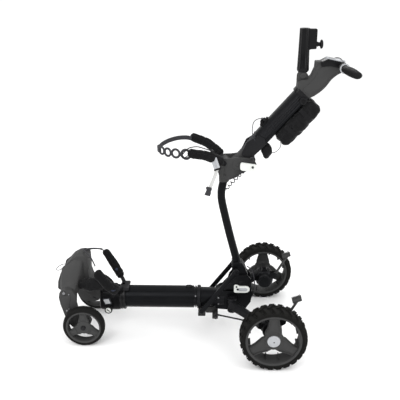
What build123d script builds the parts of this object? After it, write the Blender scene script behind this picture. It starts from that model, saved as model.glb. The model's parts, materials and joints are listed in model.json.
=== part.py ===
"""Four-wheel golf trolley with a battery in its main tube and a folding post and handle.

Lengths are in millimetres. While the pieces are made, X runs from front to rear with
the rear axle at 0, Y runs from the left side to the right side as seen by a person who
pushes the trolley, with the middle at 0, and Z is up with the ground at 0. The last
step moves everything along X, so that the origin is under the middle of the trolley.
"""

import math
import os

from build123d import *

# ---------------------------------------------------------------- driving dimensions

# Rear wheels
REAR_R = 140.0
REAR_WIDTH = 75.0
REAR_TRACK = 616.0
REAR_TYRE_DEPTH = 25.0
RIM_WALL = 7.0
SPOKE_T = 20.0
SPOKE_RIM_W = 42.0
SPOKE_HUB_W = 62.0
REAR_HUB_R = 42.0
SHAFT_R = 10.0
CAP_R = 27.0
CAP_T = 10.0
CAP_TRAVEL = 3.0

# Front wheels
FRONT_R = 92.5
FRONT_WIDTH = 42.0
FRONT_TRACK = 320.0
FRONT_AXLE_X = -820.0
FRONT_TYRE_DEPTH = 16.5
FRONT_SPOKE_T = 16.0
FRONT_SPOKE_W = 30.0
FRONT_HUB_R = 32.0
FRONT_AXLE_R = 6.0
CROWN_HALF_W = 44.0
CROWN_WALL = 6.0

# Tracking knob on the front knuckle
KNOB_AT = (-727.0, 115.0)
KNOB_R = 18.0
KNOB_STEM_R = 5.0
KNUCKLE_HALF_W = 44.0

# Main tube, which holds the battery
TUBE_R = 50.5
TUBE_WALL = 3.5
TUBE_Z = 155.0
TUBE_FRONT = -676.0
TUBE_REAR = -338.0
TUBE_GROOVES = 14
GROOVE_R = 1.6
COLLAR_R = 60.0
COLLAR_T = 26.0
RING_R = 54.0
RING_T = 15.0
BATTERY_R = TUBE_R - TUBE_WALL - 9.0
BATTERY_LENGTH = 270.0
BUTTON_LENGTH = 32.0
BUTTON_W = 18.0
BUTTON_X = -361.0
BUTTON_TRAVEL = 2.0

# Rear bracket, post pivot and braces
BRACKET_HALF_W = 36.0
CHEEK_T = 8.0
BRACKET_WALL = 6.0
STUB_R = 44.0
POST_PIVOT = (-122.0, 245.0)
POST_FOOT_R = 32.0
PIVOT_PIN_R = 7.0
LINK_TOP = (-150.0, 312.0)
LINK_FOOT = (-302.0, 112.0)
LINK_Y = 58.0
LINK_T = 7.0
LINK_W = 22.0
LINK_PIN_R = 5.0
SHOE_LENGTH = 34.0
SHOE_T = 9.0
SHOE_TOP = 95.0

# Rear arms, yoke, tie rods and motors
ARM_PIVOT = (-165.0, 60.0)
ARM_END = (-46.0, 222.0)
ARM_Z0 = 126.0
ARM_Z1 = 172.0
ARM_W = 30.0
ARM_BOSS_R = 20.0
ARM_PIN_R = 7.0
LUG_T = 10.0
MOTOR_R = 42.0
MOTOR_Y0 = 200.0
MOTOR_Y1 = 266.0
YOKE_X = -238.0
YOKE_Y = 58.0
YOKE_Z = 84.0
ROD_R = 3.5
ROD_END = (-104.0, 180.0, 138.0)
ROD_BALL_R = 5.2
ROD_EYE_R = 9.0
PEDAL_HINGE = (54.0, 166.0)
PEDAL_Y = 215.0
PEDAL_REACH = 66.0
PEDAL_RISE = 102.0
PEDAL_W = 38.0
PEDAL_PIN_R = 4.0

# Post
POST_DEPTH = 34.0
POST_W = 44.0
POST_WALL = 3.0
POST_LINE = [
    (-122.0, 275.0),
    (-146.0, 345.0),
    (-164.0, 412.0),
    (-183.0, 485.0),
    (-200.0, 557.0),
    (-214.0, 620.0),
    (-218.0, 657.0),
    (-215.0, 690.0),
    (-203.0, 748.0),
]
HANDLE_PIVOT = (-152.0, 801.0)
HEAD_GAP = 31.5
HEAD_CHEEK_T = 7.5
KNUCKLE_R = 28.0

# Cradles
UPPER_ARM_LINE = [(-196.0, 34.0, 800.0), (-226.0, 60.0, 826.0), (-280.0, 102.0, 858.0), (-345.0, 130.0, 877.0)]
UPPER_ARM_R = 10.0
UPPER_PAD_R = 20.0
LOWER_ARM_LINE = [(-666.0, 34.0, 214.0), (-686.0, 74.0, 224.0), (-722.0, 102.0, 272.0), (-757.0, 112.0, 326.0)]
LOWER_ARM_R = 9.0
LOWER_PAD_R = 20.0
BUNGEE_R = 3.5
STRAP_T = 4.0
STRAP_H = 22.0
STRAP_Z = 868.0
STRAP_LINE = [(-362.0, 112.0), (-408.0, 100.0), (-446.0, 80.0), (-474.0, 46.0)]
STRAP_TIP_X = -486.0
STRAP_RINGS = [(-364.0, 24.0, 13.0), (-405.0, 22.0, 12.0), (-438.0, 20.0, 10.5), (-463.0, 18.0, 9.5)]

# Handle
SHAFT_ANGLE = 48.5
SHAFT_DEPTH = 64.0
SHAFT_W = 58.0
SHAFT_WALL = 3.0
SHAFT_START = 140.0
SHAFT_LENGTH = 251.0
GRIP_R = 19.0
GRIP_LINE = [(256.0, 74.0, 1206.0), (262.0, 140.0, 1205.0), (283.0, 203.0, 1197.0)]
BAR_R = 15.0
POUCH_LENGTH = 215.0
POUCH_DEPTH = 62.0
POUCH_W = 116.0
POUCH_START = 188.0

SPEED_BUTTON_R = 7.0
SPEED_BUTTON_TRAVEL = 2.0
BUTTON_SEAT = (258.0, 0.0, 1205.0)
BUTTON_TILT = 18.4

# Umbrella holder
SOCKET_X = 104.0
SOCKET_BOTTOM = 1184.0
SOCKET_TOP = 1353.0
SOCKET_R0 = 24.0
SOCKET_R1 = 20.0
SOCKET_BORE_R = 13.0
SOCKET_BORE_LENGTH = 150.0
UMBRELLA_PIVOT_Z = 1170.0
SCREW_Z = 1291.0
SCREW_R = 4.0
SCREW_HEAD_R = 18.0
CLAMP_BLOCK_REACH = 48.0

# Release levers
LEVER_LENGTH = 70.0
LEVER_H = 34.0
LEVER_T = 9.0
LEVER_PIN_R = 5.0

# Cables
CABLE_R = 2.5
COIL_R = 8.0

# Fits
RUN = 0.05  # radial clearance of a pin in its hole
GAP = 0.5  # side clearance between pieces that move past each other

LOW = (Align.CENTER, Align.CENTER, Align.MIN)

parts = {}


# ---------------------------------------------------------------- shape helpers


def rod(start, end, radius):
    """A cylinder from one point to another."""
    a = Vector(*start)
    d = Vector(*end) - a
    return Plane(origin=a, z_dir=d) * Cylinder(radius, d.length, align=LOW)


def across(x, z, radius, y0, y1):
    """A cylinder along Y."""
    return rod((x, y0, z), (x, y1, z), radius)


def block(x0, x1, y0, y1, z0, z1):
    """A box from its lowest and highest corners."""
    box = Box(x1 - x0, y1 - y0, z1 - z0)
    return Pos((x0 + x1) / 2, (y0 + y1) / 2, (z0 + z1) / 2) * box


def slab(outline, y0, y1):
    """An outline in X and Z, extruded along Y."""
    wire = Polyline([(x, y0, z) for x, z in outline], close=True)
    return extrude(make_face(wire), amount=y1 - y0, dir=(0, 1, 0))


def plate(outline, z0, z1):
    """An outline in X and Y, extruded along Z."""
    wire = Polyline([(x, y, z0) for x, y in outline], close=True)
    return extrude(make_face(wire), amount=z1 - z0, dir=(0, 0, 1))


def side(shape, sign):
    """The shape as drawn for +Y, or its mirror image for -Y."""
    return shape if sign > 0 else mirror(shape, about=Plane.XZ)


def bend_radii(points, largest=None):
    """One radius for each corner of a route, as large as its two runs allow."""
    radii = []
    for a, b, c in zip(points, points[1:], points[2:]):
        u = Vector(*b) - Vector(*a)
        v = Vector(*c) - Vector(*b)
        half = math.radians(u.get_angle(v)) / 2
        r = 0.45 * min(u.length, v.length) / math.tan(half)
        radii.append(min(r, largest) if largest else r)
    return radii


def pipe(points, radius, largest=None):
    """A round bar along straight runs joined by tangent arcs."""
    path = FilletPolyline(*points, radius=bend_radii(points, largest))
    section = Plane(origin=path @ 0, z_dir=path % 0) * Circle(radius)
    return sweep(section, path=path)


def strip(line, depth, y0, y1):
    """A bar of even depth along a curve in X and Z, extruded along Y."""
    left, right = [], []
    for i, (x, z) in enumerate(line):
        x0, z0 = line[max(i - 1, 0)]
        x1, z1 = line[min(i + 1, len(line) - 1)]
        length = math.hypot(x1 - x0, z1 - z0)
        nx, nz = -(z1 - z0) / length, (x1 - x0) / length
        left.append((x + nx * depth / 2, y0, z + nz * depth / 2))
        right.append((x - nx * depth / 2, y0, z - nz * depth / 2))
    edges = Spline(*left) + Line(left[-1], right[-1]) + Spline(*right[::-1]) + Line(right[0], left[0])
    return extrude(make_face(edges), amount=y1 - y0, dir=(0, 1, 0))


def wheel_web(radius, hub_r, hub_w, rim_w, y0, y1):
    """A hub disc with three spokes, one of them straight up."""
    web = across(0, 0, hub_r, y0, y1)
    outline = [(-rim_w / 2, radius), (-hub_w / 2, 0), (hub_w / 2, 0), (rim_w / 2, radius)]
    spoke = slab(outline, y0, y1)
    for turn in (0, 120, 240):
        web += Rot(0, turn, 0) * spoke
    return web & across(0, 0, radius, y0, y1)


def pill(x, z, length, height, y0, y1):
    """A bar with round ends, lying along X."""
    reach = length / 2 - height / 2
    ends = across(x - reach, z, height / 2, y0, y1) + across(x + reach, z, height / 2, y0, y1)
    return ends + block(x - reach, x + reach, y0, y1, z - height / 2, z + height / 2)


SHAFT_DIR = (math.cos(math.radians(SHAFT_ANGLE)), math.sin(math.radians(SHAFT_ANGLE)))


def on_shaft(along, below=0.0):
    """X and Z of a point at a distance from the handle pivot, and so far below the shaft's middle."""
    x = HANDLE_PIVOT[0] + along * SHAFT_DIR[0] + below * SHAFT_DIR[1]
    z = HANDLE_PIVOT[1] + along * SHAFT_DIR[1] - below * SHAFT_DIR[0]
    return x, z


def shaft_bar(along0, along1, depth, width, corner):
    """A bar with rounded corners that lies along the handle's shaft."""
    x, z = on_shaft(along0)
    plane = Plane(origin=(x, 0, z), x_dir=(0, 1, 0), z_dir=(SHAFT_DIR[0], 0, SHAFT_DIR[1]))
    return extrude(plane * RectangleRounded(width, depth, corner), amount=along1 - along0)


# ---------------------------------------------------------------- rear wheels


def rear_wheel(name, sign):
    """Tyre, rim and push cap of one rear wheel."""
    mid = REAR_TRACK / 2
    y0, y1 = mid - REAR_WIDTH / 2, mid + REAR_WIDTH / 2
    seat_r = REAR_R - REAR_TYRE_DEPTH
    tyre = across(0, REAR_R, REAR_R, y0, y1)
    tyre = fillet(tyre.edges().filter_by(GeomType.CIRCLE), 9)
    tyre -= across(0, REAR_R, seat_r, y0 - 1, y1 + 1)

    face = y1 - 7
    rim = across(0, REAR_R, seat_r, y0 + 2, y1 - 2) - across(0, REAR_R, seat_r - RIM_WALL, y0, y1)
    web = wheel_web(seat_r - 1, REAR_HUB_R, SPOKE_HUB_W, SPOKE_RIM_W, face - SPOKE_T, face)
    rim += Pos(0, 0, REAR_R) * web
    rim += across(0, REAR_R, CAP_R + 6, MOTOR_Y1 + 6, face)
    cap_y1 = y1 - 0.5
    cap_y0 = cap_y1 - CAP_T
    rim -= across(0, REAR_R, CAP_R + GAP, cap_y0 - CAP_TRAVEL - GAP, y1)
    rim -= across(0, REAR_R, SHAFT_R + RUN, MOTOR_Y1, y1)
    cap = across(0, REAR_R, CAP_R, cap_y0, cap_y1)
    cap = fillet(cap.edges().filter_by(GeomType.CIRCLE).sort_by(Axis.Y)[-1], 2)
    parts[f"rear_tyre_{name}"] = side(tyre, sign)
    parts[f"rear_rim_{name}"] = side(rim, sign)
    parts[f"wheel_cap_{name}"] = side(cap, sign)


# ---------------------------------------------------------------- front wheels and fork


def front_wheel(name, sign):
    """Tyre and rim of one front wheel."""
    mid = FRONT_TRACK / 2
    y0, y1 = mid - FRONT_WIDTH / 2, mid + FRONT_WIDTH / 2
    seat_r = FRONT_R - FRONT_TYRE_DEPTH
    tyre = across(FRONT_AXLE_X, FRONT_R, FRONT_R, y0, y1)
    tyre = fillet(tyre.edges().filter_by(GeomType.CIRCLE), 12)
    tyre -= across(FRONT_AXLE_X, FRONT_R, seat_r, y0 - 1, y1 + 1)
    rim = across(FRONT_AXLE_X, FRONT_R, seat_r, y0 + 2, y1 - 2)
    rim -= across(FRONT_AXLE_X, FRONT_R, seat_r - RIM_WALL, y0, y1)
    face = y1 - 4
    web = wheel_web(seat_r - 1, FRONT_HUB_R, FRONT_SPOKE_W + 16, FRONT_SPOKE_W, face - FRONT_SPOKE_T, face)
    rim += Pos(FRONT_AXLE_X, 0, FRONT_R) * web
    rim += across(FRONT_AXLE_X, FRONT_R, 16, y0 + 1, face + 2)
    rim -= across(FRONT_AXLE_X, FRONT_R, FRONT_AXLE_R + RUN, y0, y1)
    parts[f"front_tyre_{name}"] = side(tyre, sign)
    parts[f"front_rim_{name}"] = side(rim, sign)


LEG_Y0 = FRONT_TRACK / 2 - FRONT_WIDTH / 2 - 34
LEG_Y1 = LEG_Y0 + 27


def front_fork():
    """The crown that stops the bag's foot, with its two legs and the wheel axles."""
    hub = (FRONT_AXLE_X, FRONT_R)
    crown_outline = [
        (-955, 214), (-948, 262), (-921, 312), (-874, 368), (-838, 377), (-812, 364),
        (-814, 286), (-795, 240), (-765, 204), (-765, 158), (-800, 176), (-850, 214), (-905, 222), (-944, 204),
    ]
    crown = slab(crown_outline, -CROWN_HALF_W, CROWN_HALF_W)
    hollow = [(-947, 170), (-941, 260), (-915, 308), (-871, 361), (-840, 369), (-820, 357), (-822, 288),
              (-803, 244), (-774, 208), (-774, 100), (-840, 100)]
    hollow_w = CROWN_HALF_W - CROWN_WALL
    leg_outline = [
        (-926, 238), (-929, 214), (-924, 180), (-906, 112), (-894, 84), (hub[0] - 14, hub[1] - 24),
        (hub[0] + 16, hub[1] - 22), (hub[0] + 24, hub[1]), (hub[0] + 14, hub[1] + 22),
        (-854, 132), (-858, 182), (-854, 222), (-870, 246),
    ]
    leg = slab(leg_outline, LEG_Y0, LEG_Y1)
    inner = Face(Wire(Polyline((-950, 43, 212), (-930, 43, 300), (-850, 43, 366), (-822, 43, 352),
                               (-836, 43, 222), close=True).edges()))
    outer = Face(Wire(Polyline((-928, LEG_Y0 + 2, 206), (-926, LEG_Y0 + 2, 236), (-872, LEG_Y0 + 2, 246),
                               (-856, LEG_Y0 + 2, 224), (-858, LEG_Y0 + 2, 184), close=True).edges()))
    shoulder = loft([inner, outer], ruled=True)
    fork = crown
    for sign in (1, -1):
        half = leg + shoulder + across(*hub, 20, LEG_Y0 - 4, LEG_Y1 + 4)
        half -= across(*hub, FRONT_AXLE_R, LEG_Y0 - 10, LEG_Y1 + 10)
        fork += side(half, sign)
    parts["front_fork"] = fork - slab(hollow, -hollow_w, hollow_w)

    axles = []
    for sign in (1, -1):
        pin = across(*hub, FRONT_AXLE_R, LEG_Y0 - 6, FRONT_TRACK / 2 + FRONT_WIDTH / 2 + 2)
        pin += across(*hub, 11, LEG_Y0 - 10, LEG_Y0 - 4)
        pin += across(*hub, 10, FRONT_TRACK / 2 + FRONT_WIDTH / 2 - 1, FRONT_TRACK / 2 + FRONT_WIDTH / 2 + 3)
        axles.append(side(pin, sign))
    parts["front_axles"] = Compound(axles)


# ---------------------------------------------------------------- main tube


def main_tube():
    """The grooved battery tube, its collar, battery and button."""
    length = TUBE_REAR - TUBE_FRONT
    start = Plane(origin=(TUBE_FRONT, 0, TUBE_Z), x_dir=(0, 1, 0), z_dir=(1, 0, 0))
    section = Circle(TUBE_R) - Circle(TUBE_R - TUBE_WALL)
    step = 360 / TUBE_GROOVES
    for i in range(TUBE_GROOVES):
        section -= Rot(0, 0, (i + 0.5) * step) * Pos(0, TUBE_R + 0.3) * Circle(GROOVE_R)
    tube = extrude(start * section, amount=length)
    top = TUBE_Z + TUBE_R
    pocket = Pos(BUTTON_X, 0, top - 12) * extrude(SlotOverall(BUTTON_LENGTH + 2 * GAP, BUTTON_W + 2 * GAP), 30)
    parts["main_tube"] = tube - pocket

    button = Pos(BUTTON_X, 0, top - 7) * extrude(SlotOverall(BUTTON_LENGTH, BUTTON_W), 9)
    parts["power_button"] = fillet(button.edges().group_by(Axis.Z)[-1], 1.5)

    collar = rod((TUBE_FRONT, 0, TUBE_Z), (TUBE_FRONT + COLLAR_T, 0, TUBE_Z), COLLAR_R)
    collar = fillet(collar.edges().filter_by(GeomType.CIRCLE), 3)
    collar -= rod((TUBE_FRONT - 1, 0, TUBE_Z), (TUBE_FRONT + COLLAR_T + 1, 0, TUBE_Z), TUBE_R)
    parts["tube_front_collar"] = collar

    battery_x0 = TUBE_FRONT + 30
    battery = rod((battery_x0, 0, TUBE_Z), (battery_x0 + BATTERY_LENGTH, 0, TUBE_Z), BATTERY_R)
    feet = rod((battery_x0 + 10, 0, TUBE_Z), (battery_x0 + 24, 0, TUBE_Z), TUBE_R - TUBE_WALL - 0.2)
    rear_feet = Pos(BATTERY_LENGTH - 60, 0, 0) * feet
    parts["battery_pack"] = battery + feet + rear_feet


def front_knuckle():
    """The block between the tube and the fork, with the tracking plate and knob on its left side."""
    half = KNUCKLE_HALF_W
    knuckle = block(-765, TUBE_FRONT, -half, half, 96, 204)
    knuckle = fillet(knuckle.edges().filter_by(Axis.X), 14)
    spigot = rod((TUBE_FRONT, 0, TUBE_Z), (TUBE_FRONT + 24, 0, TUBE_Z), TUBE_R - TUBE_WALL - 0.2)
    boss = across(*KNOB_AT, KNOB_R - 6, -half - 8, -half + 4)
    knuckle += spigot + boss
    knuckle -= across(*KNOB_AT, KNOB_STEM_R + RUN, -half - 16, -half + 19)
    parts["front_knuckle"] = knuckle
    tag = block(-752, -714, -half - 3, -half, 138, 166)
    parts["tracking_plate"] = fillet(tag.edges().filter_by(Axis.Y), 5)
    knob = across(*KNOB_AT, KNOB_R, -half - 22, -half - 8 - GAP)
    knob = fillet(knob.edges().filter_by(GeomType.CIRCLE).sort_by(Axis.Y)[0], 4)
    parts["tracking_knob"] = knob + across(*KNOB_AT, KNOB_STEM_R, -half - 10, -half + 16)


# ---------------------------------------------------------------- rear bracket and braces


def rear_bracket():
    """The casting behind the tube that carries the post and both rear arms."""
    stub = rod((TUBE_REAR, 0, TUBE_Z), (-200, 0, TUBE_Z), STUB_R)
    stub += rod((TUBE_REAR - 22, 0, TUBE_Z), (TUBE_REAR, 0, TUBE_Z), TUBE_R - TUBE_WALL - 0.2)
    stub -= block(TUBE_REAR - 30, TUBE_REAR - 1, -14, 14, TUBE_Z + TUBE_R - 12, TUBE_Z + TUBE_R)
    stub += rod((TUBE_REAR, 0, TUBE_Z), (TUBE_REAR + RING_T, 0, TUBE_Z), RING_R)
    px, pz = POST_PIVOT
    body_top = pz - POST_FOOT_R - 3
    body = slab([(-240, 113), (-240, 190), (-215, body_top), (-78, body_top), (-78, 150), (-104, 113)],
                -BRACKET_HALF_W, BRACKET_HALF_W)
    cheek_outline = [
        (-215, body_top - 2), (-184, 232), (-178, 262), (-160, 285), (-98, 285), (-80, 262), (-78, body_top - 2),
    ]
    inner = BRACKET_HALF_W - CHEEK_T
    cheeks = slab(cheek_outline, -BRACKET_HALF_W, BRACKET_HALF_W)
    cheeks -= block(-260, 0, -inner, inner, body_top, 300)
    body += cheeks
    body -= block(-260, 0, -inner, inner, body_top, 300)
    ax, ay = ARM_PIVOT
    for sign in (1, -1):
        for z0 in (ARM_Z0 - GAP - LUG_T, ARM_Z1 + GAP):
            lug = Pos(ax, ay, z0) * Cylinder(ARM_BOSS_R, LUG_T, align=LOW)
            lug += block(ax - ARM_BOSS_R, ax + ARM_BOSS_R, BRACKET_HALF_W - 4, ay, z0, z0 + LUG_T)
            body += side(lug, sign)
        pin = Pos(ax, ay, ARM_Z0 - LUG_T - 2) * Cylinder(ARM_PIN_R, ARM_Z1 - ARM_Z0 + 2 * LUG_T + 4, align=LOW)
        body += side(pin, sign)
    body += across(px, pz, PIVOT_PIN_R, -BRACKET_HALF_W - 2, BRACKET_HALF_W + 2)
    hollow = [(-232, 100), (-232, 186), (-212, body_top - 6), (-86, body_top - 6), (-86, 152), (-110, 100)]
    inside = BRACKET_HALF_W - BRACKET_WALL
    bracket = stub + body - slab(hollow, -inside, inside)
    bracket -= rod((TUBE_REAR - 30, 0, TUBE_Z), (-190, 0, TUBE_Z), STUB_R - BRACKET_WALL)
    lever_x = px - LEVER_LENGTH / 2 + LEVER_H / 2
    bracket += across(lever_x, pz - 26, LEVER_PIN_R, -BRACKET_HALF_W - LEVER_T - 3, -BRACKET_HALF_W + 4)
    parts["rear_bracket"] = bracket
    lever = pill(px, pz - 26, LEVER_LENGTH, LEVER_H, -BRACKET_HALF_W - 2 - LEVER_T, -BRACKET_HALF_W - 2.5)
    lever -= across(lever_x, pz - 26, LEVER_PIN_R + RUN, -70, 0)
    parts["post_lever"] = fillet(lever.edges().group_by(Axis.Y)[0], 2.5)


def braces():
    """Two brace links from the post to a shoe that slides under the tube."""
    (tx, tz), (fx, fz) = LINK_TOP, LINK_FOOT
    y0, y1 = LINK_Y, LINK_Y + LINK_T
    length = math.hypot(tx - fx, tz - fz)
    nx, nz = -(tz - fz) / length * LINK_W / 2, (tx - fx) / length * LINK_W / 2
    bar = slab([(tx + nx, tz + nz), (tx - nx, tz - nz), (fx - nx, fz - nz), (fx + nx, fz + nz)], y0, y1)
    bar += across(tx, tz, LINK_W / 2 + 2, y0, y1) + across(fx, fz, LINK_W / 2, y0, y1)
    bar += across(fx, fz, 7, y1, y1 + 4) + across(tx, tz, 8, y1, y1 + 4)
    links = side(bar, 1) + side(bar, -1)
    links += across(tx, tz, LINK_PIN_R, -y1, y1)
    parts["brace_links"] = links

    x0, x1 = fx - SHOE_LENGTH / 2, fx + SHOE_LENGTH / 2
    shoe = block(x0, x1, -LINK_Y + 1, LINK_Y - 1, SHOE_TOP - SHOE_T, SHOE_TOP)
    for sign in (1, -1):
        cheek = block(x0, x1, LINK_Y - 8, LINK_Y - 1, SHOE_TOP - SHOE_T, fz + 12)
        shoe += side(cheek, sign)
    parts["brace_shoe"] = shoe


def rear_arms():
    """Yoke, tie rods, arms, motors and brake pedals."""
    yoke = block(YOKE_X - 46, YOKE_X - 6, -18, 18, YOKE_Z - 6, 110)
    yoke += block(YOKE_X - 16, YOKE_X + 10, -YOKE_Y - 10, YOKE_Y + 10, YOKE_Z - 6, YOKE_Z + 4)
    ax, ay = ARM_PIVOT
    ex, ey = ARM_END
    for name, sign in (("left", -1), ("right", 1)):
        pin = Pos(YOKE_X, YOKE_Y, YOKE_Z) * Cylinder(LINK_PIN_R, 22, align=LOW)
        yoke += side(pin, sign)

        eye_z = YOKE_Z + 4 + GAP
        eye = Pos(YOKE_X, YOKE_Y, eye_z) * Cylinder(ROD_EYE_R, 14, align=LOW)
        rx, ry, rz = ROD_END
        link = eye + rod((YOKE_X, YOKE_Y, eye_z + 7), (rx, ry, rz), ROD_R)
        link += Pos(rx, ry, rz) * Sphere(ROD_BALL_R)
        link -= Pos(YOKE_X, YOKE_Y, YOKE_Z) * Cylinder(LINK_PIN_R + RUN, 60, align=LOW)
        parts[f"tie_rod_{name}"] = side(link, sign)

        length = math.hypot(ex - ax, ey - ay)
        nx, ny = -(ey - ay) / length * ARM_W / 2, (ex - ax) / length * ARM_W / 2
        arm = Pos(ax, ay, ARM_Z0) * Cylinder(ARM_BOSS_R - 1, ARM_Z1 - ARM_Z0, align=LOW)
        arm += plate([(ax + nx, ay + ny), (ax - nx, ay - ny), (ex - nx, ey - ny), (ex + nx, ey + ny)],
                     ARM_Z0 + 4, ARM_Z1 - 4)
        arm += Pos(ex, ey, ARM_Z0 + 4) * Cylinder(ARM_W / 2, ARM_Z1 - ARM_Z0 - 8, align=LOW)
        arm -= Pos(ax, ay, 0) * Cylinder(ARM_PIN_R + RUN, 400, align=LOW)
        motor = across(0, REAR_R, MOTOR_R, MOTOR_Y0, MOTOR_Y1)
        motor = fillet(motor.edges().filter_by(GeomType.CIRCLE), 5)
        motor += across(0, REAR_R, MOTOR_R - 8, MOTOR_Y0 - 26, MOTOR_Y0 + 2)
        motor += block(ex, 0, MOTOR_Y0 + 4, MOTOR_Y1 - 18, ARM_Z0 + 4, ARM_Z1 - 4)
        motor += across(0, REAR_R, SHAFT_R, MOTOR_Y1 - 4, REAR_TRACK / 2 + REAR_WIDTH / 2 - CAP_T - CAP_TRAVEL - 4)
        hx, hz = PEDAL_HINGE
        ear = slab([(20, REAR_R - 12), (hx + 6, hz - 10), (hx + 8, hz + 6), (hx - 4, hz + 9), (20, REAR_R + 32)],
                   MOTOR_Y0 + 1, MOTOR_Y0 + 7)
        motor += ear + Pos(0, 22, 0) * ear
        motor += across(hx, hz, PEDAL_PIN_R, MOTOR_Y0 + 2, MOTOR_Y0 + 28)
        motor -= arm
        parts[f"rear_arm_{name}"] = side(arm, sign)
        parts[f"motor_housing_{name}"] = side(motor, sign)

        tip = (hx + PEDAL_REACH, hz + PEDAL_RISE)
        pedal = across(hx, hz, 8, MOTOR_Y0 + 7 + GAP, MOTOR_Y0 + 23 - GAP)
        pedal += rod((hx, PEDAL_Y, hz), (tip[0] - 12, PEDAL_Y, tip[1] - 4), 6)
        tread = slab([(tip[0] - 36, tip[1] - 13), (tip[0] - 38, tip[1] - 5), (tip[0], tip[1] + 10),
                      (tip[0] + 3, tip[1] + 2)], PEDAL_Y - PEDAL_W / 2, PEDAL_Y + PEDAL_W / 2)
        pedal += tread
        pedal -= across(hx, hz, PEDAL_PIN_R + RUN, MOTOR_Y0, MOTOR_Y0 + 30)
        parts[f"brake_pedal_{name}"] = side(pedal, sign)
    parts["arm_yoke"] = yoke


# ---------------------------------------------------------------- post and cradles


def post():
    """The curved post with its foot, and the head that carries the handle and the upper cradle."""
    px, pz = POST_PIVOT
    tube = strip(POST_LINE, POST_DEPTH, -POST_W / 2, POST_W / 2)
    inside = POST_W / 2 - POST_WALL
    tube -= strip(POST_LINE, POST_DEPTH - 2 * POST_WALL, -inside, inside)
    foot_w = BRACKET_HALF_W - CHEEK_T - GAP
    foot = across(px, pz, POST_FOOT_R, -foot_w, foot_w)
    foot += slab([(px - 31, pz + 4), (px + 31, pz), (px + 24, pz + 60), (px - 5, pz + 92), (px - 50, pz + 84)],
                 -foot_w, foot_w)
    foot = fillet(foot.edges().filter_by(Axis.Y), 3)
    tube += foot
    tube -= across(px, pz, PIVOT_PIN_R + RUN, -40, 40)
    tube -= across(*LINK_TOP, LINK_PIN_R + RUN, -40, 40)
    parts["post_tube"] = tube

    hx, hz = HANDLE_PIVOT
    core = slab([(-226, 734), (-228, 800), (-206, 826), (-184, 818), (-182, 772), (-186, 734)], -HEAD_GAP, HEAD_GAP)
    core -= across(hx, hz, KNUCKLE_R + 1.5, -50, 50)
    outline = [
        (-226, 734), (-230, 800), (-206, 829), (-176, 827), (-150, 834), (-82, 822), (-70, 803), (-80, 784),
        (-128, 768), (-178, 734),
    ]
    outer = HEAD_GAP + HEAD_CHEEK_T
    cheeks = slab(outline, -outer, outer) - block(-300, 0, -HEAD_GAP, HEAD_GAP, 600, 900)
    head = core + cheeks + across(hx, hz, PIVOT_PIN_R, -outer - 3, outer + 3)
    lever_x = hx + 62
    lever_y = -outer - 22
    head += across(lever_x, hz, LEVER_PIN_R, lever_y - LEVER_T - 2, -outer + 2)
    head -= tube
    lever = pill(lever_x - LEVER_LENGTH / 2 + LEVER_H / 2, hz, LEVER_LENGTH, LEVER_H, lever_y - LEVER_T, lever_y)
    lever -= across(lever_x, hz, LEVER_PIN_R + RUN, -100, 0)
    parts["handle_lever"] = fillet(lever.edges().group_by(Axis.Y)[0], 2.5)

    arm = pipe(UPPER_ARM_LINE, UPPER_ARM_R)
    pad = padded_bar(UPPER_ARM_LINE[1:], UPPER_PAD_R, 14) - arm
    arm -= head
    parts["post_head"] = head
    for name, sign in (("left", -1), ("right", 1)):
        parts[f"upper_arm_{name}"] = side(arm, sign)
        parts[f"upper_pad_{name}"] = side(pad, sign)


def padded_bar(line, radius, trim):
    """A soft round pad along a bent line, with domed ends, that starts a little way up it."""
    a, b = Vector(*line[0]), Vector(*line[1])
    start = a + (b - a).normalized() * trim
    points = [tuple(start)] + [tuple(p) for p in line[1:]]
    bar = Pos(*points[0]) * Sphere(radius)
    for p, q in zip(points, points[1:]):
        bar += rod(p, q, radius) + Pos(*q) * Sphere(radius)
    return bar


def lower_cradle():
    """The lower fork of padded arms and its elastic cord."""
    base = block(-672, -634, -40, 40, TUBE_Z + COLLAR_R - 8, TUBE_Z + COLLAR_R + 8)
    base -= parts["tube_front_collar"] + parts["main_tube"]
    base -= rod((TUBE_FRONT, 0, TUBE_Z), (-600, 0, TUBE_Z), TUBE_R)
    arm = pipe(LOWER_ARM_LINE, LOWER_ARM_R)
    pad = padded_bar(LOWER_ARM_LINE[1:], LOWER_PAD_R, 16) - arm
    parts["lower_cradle"] = base + side(arm, 1) + side(arm, -1)
    parts["lower_pad_left"] = side(pad, -1)
    parts["lower_pad_right"] = side(pad, 1)


BUNGEE_ROUTE = [(-769, -90, 350), (-790, -52, 371), (-818, -22, 383), (-842, 0, 386), (-818, 22, 383),
                (-790, 52, 371), (-769, 90, 350)]


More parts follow.
